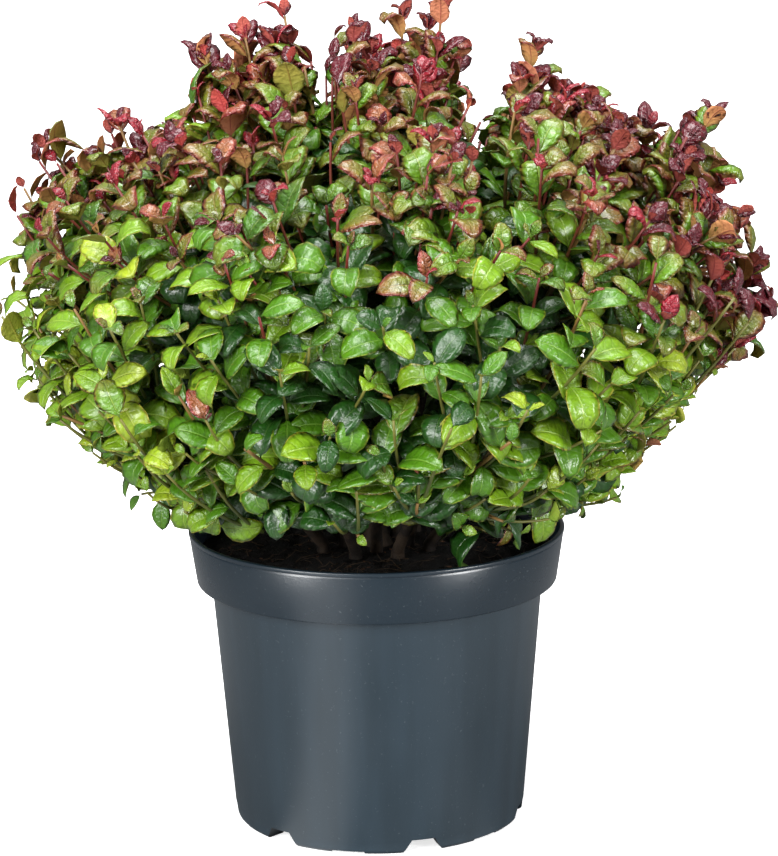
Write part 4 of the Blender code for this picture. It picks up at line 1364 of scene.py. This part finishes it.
@dataclass
class NurseryPot:
    """The round pot: a tapering body, a deep collar with a beaded rim, and notched feet."""

    height: float = 0.182
    rim_radius: float = 0.115
    bead_height: float = 0.0026
    groove_depth: float = 0.0010
    collar_height: float = 0.0327
    collar_foot_radius: float = 0.1104
    collar_foot_round: float = 0.0016
    shoulder_radius: float = 0.1012
    base_radius: float = 0.0885
    base_round: float = 0.0034
    wall: float = 0.0019
    foot_ring_width: float = 0.014
    floor_underside: float = 0.0100
    floor_thickness: float = 0.0022
    pad_radius: float = 0.016
    notch_count: int = 6
    first_notch: float = math.radians(-73.0)
    notch_height: float = 0.0085
    notch_top: float = 0.0145
    notch_foot: float = 0.0280
    recess_height: float = 0.0018
    recess_width: float = 0.0200
    steps: int = 160

    def inner_radius(self, height: float) -> float:
        """The radius of the inside at a height: body below, wider collar above."""
        collar_foot = self.height - self.collar_height
        if height >= collar_foot + self.wall:
            share = (height - collar_foot) / self.collar_height
            outer = self.collar_foot_radius + (self.rim_radius - self.collar_foot_radius) * share
            return outer - self.wall - self.groove_depth
        share = height / collar_foot
        return self.base_radius + (self.shoulder_radius - self.base_radius) * share - self.wall

    def arc(self, middle: tuple[float, float], radius: float, start: float, end: float, count: int) -> list:
        """Points (radius, height) along an arc of the profile, its angles in degrees."""
        angles = [math.radians(start + (end - start) * step / count) for step in range(count + 1)]
        return [(middle[0] + radius * math.cos(a), middle[1] + radius * math.sin(a)) for a in angles]

    def profile(self) -> list[tuple[float, float]]:
        """The section, from the middle of the floor up the inside, over the rim and down the outside."""
        top = self.height
        collar_foot = top - self.collar_height
        floor_top = self.floor_underside + self.floor_thickness
        rim_inside = self.inner_radius(top)
        edge = 0.0007
        bead_foot = top - self.bead_height
        under = self.rim_radius - self.groove_depth
        inside = [
            (0.0, floor_top),
            (self.inner_radius(floor_top), floor_top),
            (self.inner_radius(collar_foot - 0.001), collar_foot - 0.001),
            (self.inner_radius(collar_foot + self.wall + 0.001), collar_foot + self.wall + 0.001),
            (rim_inside, top - edge),
        ]
        rim = self.arc((rim_inside + edge, top - edge), edge, 180.0, 90.0, 3)
        rim += self.arc((self.rim_radius - edge, top - edge), edge, 90.0, 0.0, 3)
        rim += self.arc((self.rim_radius - edge, bead_foot + edge), edge, 0.0, -80.0, 3)
        rim += [(under, bead_foot - 0.0002), (under + 0.0001, bead_foot - 0.0006), (under + 0.0004, bead_foot - 0.0014)]
        corner = (self.collar_foot_radius - self.collar_foot_round, collar_foot + self.collar_foot_round)
        collar = self.arc(corner, self.collar_foot_round, 0.0, -85.0, 5)
        shoulder = [
            (self.shoulder_radius + 0.0010, collar_foot - 0.0001),
            (self.shoulder_radius + 0.0003, collar_foot - 0.0006),
            (self.shoulder_radius, collar_foot - 0.0016),
        ]
        share = 1.0 - self.notch_height / collar_foot
        band = self.base_radius + (self.shoulder_radius - self.base_radius) * (1.0 - share)
        line = [(band + 0.0002, self.notch_height + 0.0006), (band - 0.0001, self.notch_height)]
        base = self.arc((self.base_radius - self.base_round, self.base_round), self.base_round, 0.0, -90.0, 6)
        ring_inside = self.base_radius - self.foot_ring_width
        under_side = [
            (ring_inside, 0.0),
            (ring_inside - 0.001, self.floor_underside),
            (self.pad_radius + 0.001, self.floor_underside),
            (self.pad_radius, 0.0),
            (0.0, 0.0),
        ]
        return inside + rim + collar + shoulder + line + base + under_side

    def turned(self) -> bmesh.types.BMesh:
        """The profile spun round Z into a closed body."""
        bm = bmesh.new()
        corners = [bm.verts.new((radius, 0.0, height)) for radius, height in self.profile()]
        edges = [bm.edges.new(pair) for pair in zip(corners, corners[1:])]
        bmesh.ops.spin(
            bm,
            geom=corners + edges,
            cent=(0.0, 0.0, 0.0),
            axis=(0.0, 0.0, 1.0),
            angle=math.tau,
            steps=self.steps,
            use_merge=True,
        )
        bmesh.ops.remove_doubles(bm, verts=bm.verts, dist=0.00001)
        bmesh.ops.recalc_face_normals(bm, faces=bm.faces)
        return bm

    def cutters(self) -> bpy.types.Object:
        """The notches, the recesses and the drain holes as one cutter."""
        bm = bmesh.new()
        middle = self.base_radius - self.foot_ring_width / 2
        for index in range(self.notch_count):
            notch_angle = self.first_notch + index * math.tau / self.notch_count
            foot_angle = notch_angle + math.pi / self.notch_count
            self.block(bm, notch_angle, middle, self.notch_foot, self.notch_top, self.notch_height)
            self.block(bm, foot_angle, middle, self.recess_width + 0.002, self.recess_width, self.recess_height)
            place = Matrix.Rotation(notch_angle, 4, "Z") @ Matrix.Translation((0.078, 0.0, self.floor_underside))
            bmesh.ops.create_cone(
                bm, cap_ends=True, segments=24, radius1=0.005, radius2=0.005, depth=0.02, matrix=place
            )
        mesh = bpy.data.meshes.new("pot_cutters")
        bm.to_mesh(mesh)
        bm.free()
        return join_object("pot_cutters", mesh, [])

    def block(
        self, bm: bmesh.types.BMesh, angle: float, radius: float, foot: float, top: float, height: float
    ) -> None:
        """Adds a block that narrows from below the ground to its top."""
        made = bmesh.ops.create_cube(bm, size=1.0)
        turn = Matrix.Rotation(angle, 4, "Z")
        for corner in made["verts"]:
            at_top = corner.co.z > 0.0
            width = top if at_top else foot
            place = Vector((corner.co.x * 1.6 * self.foot_ring_width + radius, corner.co.y * width, 0.0))
            place.z = height if at_top else -0.002
            corner.co = turn @ place

    def build(self, finishes: "Finishes") -> None:
        """Makes the pot as one piece."""
        bm = self.turned()
        mesh = bpy.data.meshes.new("pot_turned")
        bm.to_mesh(mesh)
        bm.free()
        thing = join_object("nursery_pot", mesh, [])
        cutter = self.cutters()
        cut = thing.modifiers.new("drainage", "BOOLEAN")
        cut.operation = "DIFFERENCE"
        cut.solver = "EXACT"
        cut.use_self = True
        cut.object = cutter
        bpy.context.view_layer.update()
        evaluated = thing.evaluated_get(bpy.context.evaluated_depsgraph_get())
        final = bpy.data.meshes.new_from_object(evaluated)
        thing.modifiers.clear()
        thing.data = final
        final.materials.clear()
        final.materials.append(finishes.plastic)
        bpy.data.objects.remove(cutter)
        final.shade_smooth()
        final.set_sharp_from_angle(angle=math.radians(32.0))
        piece(thing, ["pot"])


@dataclass
class Compost:
    """The compost: an uneven dark surface with chips, fibres and a few dead leaves."""

    top: float = 0.170
    edge_top: float = 0.166
    flat_radius: float = 0.048
    rings: int = 46
    steps: int = 150
    relief: float = 0.0022
    chip_count: int = 620
    fibre_count: int = 130

    def surface_height(self, x: float, y: float) -> float:
        """The height of the compost's surface at a place."""
        radius = math.hypot(x, y)
        fall = max(0.0, (radius - self.flat_radius) / 0.06)
        base = self.top - (self.top - self.edge_top) * min(1.0, fall)
        rough = noise.fractal(Vector((x * 95.0, y * 95.0, 3.1)), 0.7, 2.1, 5)
        calm = 0.35 + 0.65 * min(1.0, radius / self.flat_radius)
        return base - 0.0006 + self.relief * rough * calm

    def build(self, pot: NurseryPot, finishes: "Finishes") -> None:
        """Makes the filling, its chips and its fibres."""
        gap = 0.0006
        floor = pot.floor_underside + pot.floor_thickness + gap
        collar_foot = pot.height - pot.collar_height
        edge = pot.inner_radius(self.edge_top) - gap
        profile = [(edge * ring / self.rings, self.top) for ring in range(self.rings + 1)]
        step = collar_foot + pot.wall + 0.001
        profile += [
            (pot.inner_radius(step) - gap, step + gap),
            (pot.inner_radius(collar_foot - 0.001) - gap, collar_foot - 0.001 + gap),
            (pot.inner_radius(floor) - gap, floor),
            (0.0, floor),
        ]
        bm = bmesh.new()
        corners = [bm.verts.new((radius, 0.0, height)) for radius, height in profile]
        edges = [bm.edges.new(pair) for pair in zip(corners, corners[1:])]
        bmesh.ops.spin(
            bm,
            geom=corners + edges,
            cent=(0.0, 0.0, 0.0),
            axis=(0.0, 0.0, 1.0),
            angle=math.tau,
            steps=self.steps,
            use_merge=True,
        )
        bmesh.ops.remove_doubles(bm, verts=bm.verts, dist=0.00001)
        bmesh.ops.recalc_face_normals(bm, faces=bm.faces)
        for corner in bm.verts:
            if corner.co.z > self.edge_top - 0.001:
                corner.co.z = self.surface_height(corner.co.x, corner.co.y)
        for face in bm.faces:
            face.smooth = True
        mesh = bpy.data.meshes.new("compost_fill")
        bm.to_mesh(mesh)
        bm.free()
        piece(join_object("compost_fill", mesh, [finishes.peat]), ["compost"])
        self.chips(finishes)
        self.fibres(finishes)

    def chips(self, finishes: "Finishes") -> None:
        """Scatters small chips of bark and wood over the surface, joined in a dark and a pale piece."""
        chance = random.Random(SEED + 3)
        for name, count, material in (
            ("compost_crumbs", self.chip_count, finishes.crumb),
            ("compost_chips", self.chip_count // 4, finishes.chip),
        ):
            bm = bmesh.new()
            for _ in range(count):
                radius = 0.104 * math.sqrt(chance.random())
                azimuth = chance.uniform(0.0, math.tau)
                x, y = radius * math.cos(azimuth), radius * math.sin(azimuth)
                size = Vector((chance.uniform(1.2, 4.2), chance.uniform(0.8, 2.4), chance.uniform(0.5, 1.3))) * 0.001
                turn = Matrix.Rotation(chance.uniform(0.0, math.tau), 4, "Z")
                turn = turn @ Matrix.Rotation(chance.uniform(-0.5, 0.5), 4, "X")
                place = Matrix.Translation((x, y, self.surface_height(x, y) + 0.3 * size.z))
                made = bmesh.ops.create_icosphere(bm, subdivisions=1, radius=0.5, matrix=Matrix.Identity(4))
                for corner in made["verts"]:
                    jitter = Vector([chance.uniform(0.72, 1.2) for _ in range(3)])
                    corner.co = place @ turn @ (corner.co * jitter * size)
            mesh = bpy.data.meshes.new(name)
            bm.to_mesh(mesh)
            bm.free()
            piece(join_object(name, mesh, [material]))

    def fibres(self, finishes: "Finishes") -> None:
        """Lays thin straw-like fibres over the surface, joined in one piece."""
        chance = random.Random(SEED + 4)
        points, faces, uvs = [], [], []
        for _ in range(self.fibre_count):
            radius = 0.098 * math.sqrt(chance.random())
            azimuth = chance.uniform(0.0, math.tau)
            heading = chance.uniform(0.0, math.tau)
            length = chance.uniform(0.007, 0.026)
            curve = chance.uniform(-1.2, 1.2)
            x, y = radius * math.cos(azimuth), radius * math.sin(azimuth)
            path = []
            for step in range(6):
                lift = 0.0007 + 0.0022 * math.sin(math.pi * step / 5) * chance.random()
                path.append((x, y, self.surface_height(x, y) + lift))
                heading += curve / 6
                x += math.cos(heading) * length / 5
                y += math.sin(heading) * length / 5
            if math.hypot(x, y) > 0.105:
                continue
            radii = np.linspace(0.00028, 0.00014, 6)
            tube_points, tube_faces, tube_uvs = tube_arrays(np.array(path), radii, 4)
            faces.append(tube_faces + sum(len(p) for p in points))
            points.append(tube_points)
            uvs.append(tube_uvs)
        mesh = array_mesh(
            "compost_fibres", np.concatenate(points), np.concatenate(faces), np.concatenate(uvs), None
        )
        piece(join_object("compost_fibres", mesh, [finishes.straw]))


class Finishes:
    """Every material of the plant and its pot."""

    def __init__(self) -> None:
        """Builds the shared groups, then each material."""
        self.blade = blade_group()
        self.grain = grain_group()
        self.leaf = {
            tint: (tint.value.face_material(self.blade), tint.value.underside_material(self.blade)) for tint in Tint
        }
        # The bark is partly its own dark brown and partly painted shade: made darker for the shade under the crown.
        self.bark = self.woody("bark", linear(26, 20, 15), linear(50, 39, 28), 0.80, 0.0006)
        self.old_twig = self.young_wood("old_twig", linear(74, 62, 36), linear(128, 96, 50))
        self.green_twig = self.young_wood("green_twig", linear(74, 86, 34), linear(108, 106, 44))
        self.red_twig = self.young_wood("red_twig", linear(98, 84, 40), linear(112, 38, 34))
        # The peat and crumbs are partly their own near-black and partly painted shade: made darker for the shade under
        # the crown.
        self.peat = self.woody("peat", linear(8, 7, 6), linear(20, 16, 13), 0.95, 0.0012)
        self.crumb = self.woody("crumb", linear(11, 9, 8), linear(26, 20, 16), 0.92, 0.0006)
        self.chip = self.woody("chip", linear(74, 50, 32), linear(48, 32, 22), 0.85, 0.0006)
        self.straw = self.woody("straw", linear(58, 44, 28), linear(44, 33, 22), 0.80, 0.0002)
        self.plastic = self.pot_plastic()

    def place(self, nodes: Nodes) -> bpy.types.NodeSocket:
        """The object coordinates."""
        return nodes.add("TexCoord").outputs["Object"]

    def woody(
        self, name: str, first: tuple, second: tuple, roughness: float, depth: float
    ) -> bpy.types.Material:
        """A rough natural finish between two colours.

        Args:
            name: the material's name.
            first: its main colour.
            second: the colour of its streaks.
            roughness: its roughness.
            depth: how deep its relief looks, in metres.

        Returns:
            The material.
        """
        material, nodes, shader = material_with(name, roughness)
        grain = nodes.add("Group", node_tree=self.grain)
        nodes.feed(grain, "Place", self.place(nodes))
        nodes.feed(grain, "Coarse Scale", 90.0)
        nodes.feed(grain, "Fine Scale", 700.0)
        streak = nodes.smooth_range(grain.outputs["Coarse"], 0.40, 0.62)
        nodes.feed(shader, "Base Color", nodes.blend(streak, first, second))
        bump = nodes.add("Bump")
        nodes.feed(bump, "Strength", 0.8)
        nodes.feed(bump, "Distance", depth)
        nodes.feed(bump, "Height", grain.outputs["Fine"])
        nodes.feed(shader, "Normal", bump.outputs[0])
        shader.inputs["Specular IOR Level"].default_value = 0.3
        return material

    def young_wood(self, name: str, foot: tuple, tip: tuple) -> bpy.types.Material:
        """The smooth bark of a twig, which turns from one colour at its foot to another at its tip.

        Args:
            name: the material's name.
            foot: the colour low on the twig.
            tip: the colour at its tip.

        Returns:
            The material.
        """
        material, nodes, shader = material_with(name, 0.45)
        uv = nodes.add("UVMap", uv_map="OFBake").outputs[0]
        split = nodes.add("SeparateXYZ")
        nodes.feed(split, 0, uv)
        grain = nodes.noise(uv, 14.0)
        along = nodes.math("ADD", split.outputs[1], nodes.math("MULTIPLY", nodes.math("SUBTRACT", grain, 0.5), 0.5))
        nodes.feed(shader, "Base Color", nodes.blend(nodes.smooth_range(along, 0.30, 0.95), foot, tip))
        bump = nodes.add("Bump")
        nodes.feed(bump, "Strength", 0.6)
        nodes.feed(bump, "Distance", 0.0002)
        nodes.feed(bump, "Height", grain)
        nodes.feed(shader, "Normal", bump.outputs[0])
        return material

    def pot_plastic(self) -> bpy.types.Material:
        """Dark slate moulded plastic: a soft sheen, partly a painted reflection of a glowing wedge of floor, faint
        upright streaks, fine scuffs and specks, and a collar darkened with painted shade and made a little smoother.
        """
        material, nodes, shader = material_with("pot_plastic", 0.42)
        shader.inputs["Specular IOR Level"].default_value = 0.62
        place = self.place(nodes)
        drawn = nodes.add("Mapping")
        nodes.feed(drawn, "Vector", place)
        nodes.feed(drawn, "Scale", (1.0, 1.0, 0.08))
        grain = nodes.add("Group", node_tree=self.grain)
        nodes.feed(grain, "Place", place)
        nodes.feed(grain, "Coarse Scale", 22.0)
        nodes.feed(grain, "Fine Scale", 620.0)
        streak = nodes.noise(drawn.outputs[0], 60.0, 3.0)
        tone = nodes.blend(nodes.smooth_range(streak, 0.35, 0.65), linear(34, 46, 54), linear(39, 52, 61))
        worn = nodes.blend(nodes.math("MULTIPLY", grain.outputs["Coarse"], 0.25), tone, linear(54, 67, 77))
        heights = nodes.add("SeparateXYZ")
        nodes.feed(heights, 0, place)
        # Painted shade: the collar is darkened for the shade that the crown casts on it; the same mask makes the collar
        # a little smoother.
        collar_shade_and_polish = nodes.math("MULTIPLY", nodes.smooth_range(heights.outputs[2], 0.147, 0.151), 0.75)
        shaded = nodes.blend(collar_shade_and_polish, worn, linear(14, 28, 38))
        specked = nodes.blend(nodes.math("MULTIPLY", grain.outputs["Specks"], 0.35), shaded, linear(96, 106, 110))
        nodes.feed(shader, "Base Color", specked)
        gloss = nodes.add("MapRange")
        nodes.feed(gloss, 0, grain.outputs["Coarse"])
        nodes.feed(gloss, 3, 0.30)
        nodes.feed(gloss, 4, 0.44)
        polish = nodes.math("MULTIPLY", collar_shade_and_polish, 0.12)
        nodes.feed(shader, "Roughness", nodes.math("SUBTRACT", gloss.outputs[0], polish))
        bump = nodes.add("Bump")
        nodes.feed(bump, "Strength", 0.25)
        nodes.feed(bump, "Distance", 0.0002)
        nodes.feed(bump, "Height", grain.outputs["Fine"])
        nodes.feed(shader, "Normal", bump.outputs[0])
        return material

    def wedge(
        self, nodes: Nodes, heading: bpy.types.Node, way: tuple[float, float, float], strength: float
    ) -> bpy.types.NodeSocket:
        """A soft wedge of painted glow on the floor, from the pot outwards, that the pot mirrors as a painted upright
        sheen.
        """
        along = nodes.add("VectorMath", operation="DOT_PRODUCT")
        nodes.feed(along, 0, heading.outputs[0])
        nodes.feed(along, 1, way)
        return nodes.math("MULTIPLY", nodes.smooth_range(along.outputs["Value"], 0.93, 1.0), strength)

    def paper(self) -> bpy.types.Material:
        """The plain pale floor, with two wedges of painted glow that only glossy rays see, which the pot mirrors as
        painted upright sheens.
        """
        material, nodes, shader = material_with("floor_paper", 0.9)
        shader.inputs["Specular IOR Level"].default_value = 0.1
        rays = nodes.add("LightPath").outputs
        seen = rays["Is Camera Ray"]
        nodes.feed(shader, "Base Color", nodes.blend(seen, (0.18, 0.18, 0.18, 1.0), (0.92, 0.92, 0.92, 1.0)))
        shader.inputs["Emission Color"].default_value = (1.0, 1.0, 1.0, 1.0)
        heading = nodes.add("VectorMath", operation="NORMALIZE")
        nodes.feed(heading, 0, self.place(nodes))
        # Painted glow: two wedges of the floor glow in reflections only, to paint sheens on the pot.
        sheen = nodes.math("ADD", self.wedge(nodes, heading, (-0.515, -0.857, 0.0), 1.05),
                           self.wedge(nodes, heading, (0.643, -0.766, 0.0), 0.12))
        reflected_painted_glow = nodes.math("MULTIPLY", rays["Is Glossy Ray"], sheen)
        nodes.feed(shader, "Emission Strength", nodes.math("MULTIPLY_ADD", seen, 0.75, reflected_painted_glow))
        return material


@dataclass
class Studio:
    """The pale floor, the soft lights and the camera at the photograph's angle."""

    distance: float = 2.2
    camera_height: float = 0.752
    pitch: float = math.radians(13.04)
    yaw: float = math.radians(0.22)
    roll: float = math.radians(-0.70)
    focal_pixels: float = 3712.7
    sensor: float = 36.0

    def build(self, finishes: Finishes) -> None:
        """Makes the camera, then the floor, the world and the lights."""
        self.camera()
        self.floor(finishes)
        self.world()
        self.sun("key", (0.20, 0.60, -1.20), 22.0, 2.1)
        self.sun("low_left", (0.73, 0.68, -0.14), 20.0, 2.5)
        self.sun("low_right", (-0.80, 0.60, -0.20), 22.0, 3.2)
        self.area("softbox_left", (-1.2, -2.1, 1.5), 1.0, 40.0)
        self.area("overhead", (0.1, 0.3, 2.3), 1.0, 40.0)
        settings = bpy.context.scene.view_settings
        settings.view_transform = "Standard"
        settings.look = "None"
        settings.exposure = 0.0

    def camera(self) -> None:
        """Sets up the camera that sees the pot as the photograph does."""
        data = bpy.data.cameras.new("camera")
        data.sensor_width = self.sensor
        data.lens = self.focal_pixels * self.sensor / IMAGE_HEIGHT
        camera = bpy.data.objects.new("camera", data)
        bpy.context.scene.collection.objects.link(camera)
        ahead = Vector(
            (
                math.sin(self.yaw) * math.cos(self.pitch),
                math.cos(self.yaw) * math.cos(self.pitch),
                -math.sin(self.pitch),
            )
        )
        right = ahead.cross(Vector((0.0, 0.0, 1.0))).normalized()
        up = right.cross(ahead)
        tilted_right = right * math.cos(self.roll) + up * math.sin(self.roll)
        tilted_up = up * math.cos(self.roll) - right * math.sin(self.roll)
        turn = Matrix((tilted_right, tilted_up, -ahead)).transposed().to_4x4()
        camera.matrix_world = Matrix.Translation((0.0, -self.distance, self.camera_height)) @ turn
        bpy.context.scene.camera = camera

    def floor(self, finishes: Finishes) -> None:
        """A wide plain floor."""
        bm = bmesh.new()
        bmesh.ops.create_grid(bm, x_segments=1, y_segments=1, size=14.0)
        mesh = bpy.data.meshes.new("floor")
        bm.to_mesh(mesh)
        bm.free()
        floor = join_object("floor", mesh, [finishes.paper()])

    def world(self) -> None:
        """A pale surround that is brightest overhead."""
        world = bpy.data.worlds.new("studio")
        world.use_nodes = True
        background = world.node_tree.nodes["Background"]
        background.inputs["Color"].default_value = (1.0, 1.0, 1.0, 1.0)
        nodes = Nodes(world.node_tree)
        split = nodes.add("SeparateXYZ")
        nodes.feed(split, 0, nodes.add("TexCoord").outputs["Generated"])
        rise = nodes.add("MapRange")
        nodes.feed(rise, 0, split.outputs[2])
        nodes.feed(rise, 3, 0.08)
        nodes.feed(rise, 4, 0.70)
        nodes.feed(background, "Strength", rise.outputs[0])
        bpy.context.scene.world = world

    def sun(self, name: str, way: tuple[float, float, float], angle: float, strength: float) -> None:
        """A soft light that shines the same way everywhere."""
        data = bpy.data.lights.new(name, "SUN")
        data.angle = math.radians(angle)
        data.energy = strength
        light = bpy.data.objects.new(name, data)
        bpy.context.scene.collection.objects.link(light)
        light.rotation_euler = Vector(way).to_track_quat("-Z", "Y").to_euler()

    def area(self, name: str, place: tuple[float, float, float], size: float, power: float) -> None:
        """A square soft light aimed at the crown."""
        data = bpy.data.lights.new(name, "AREA")
        data.size = size
        data.energy = power
        light = bpy.data.objects.new(name, data)
        bpy.context.scene.collection.objects.link(light)
        aim = Vector((0.0, 0.0, 0.28)) - Vector(place)
        light.location = place
        light.rotation_euler = aim.to_track_quat("-Z", "Y").to_euler()


def main() -> None:
    """Builds every piece of the plant and its pot, then the studio."""
    logging.basicConfig(level=logging.INFO, format="%(message)s")
    finishes = Finishes()
    Studio().build(finishes)
    growth = Growth()
    growth.plan_boughs()
    growth.plan_shoots()
    growth.plan_fine_shoots()
    LOG.info("%d shoots", len(growth.shoots))
    pot = NurseryPot()
    pot.build(finishes)
    Compost().build(pot, finishes)
    Limbs(growth).build(finishes)
    leaves = Leaves(growth)
    leaves.plan()
    leaves.prune()
    leaves.add_strays()
    LOG.info("%d leaves", len(leaves.plans))
    Twigs().build(growth, finishes)
    leaves.build(finishes, [f"foliage_{bough.label}" for bough in growth.boughs])


if __name__ == "__main__":
    main()
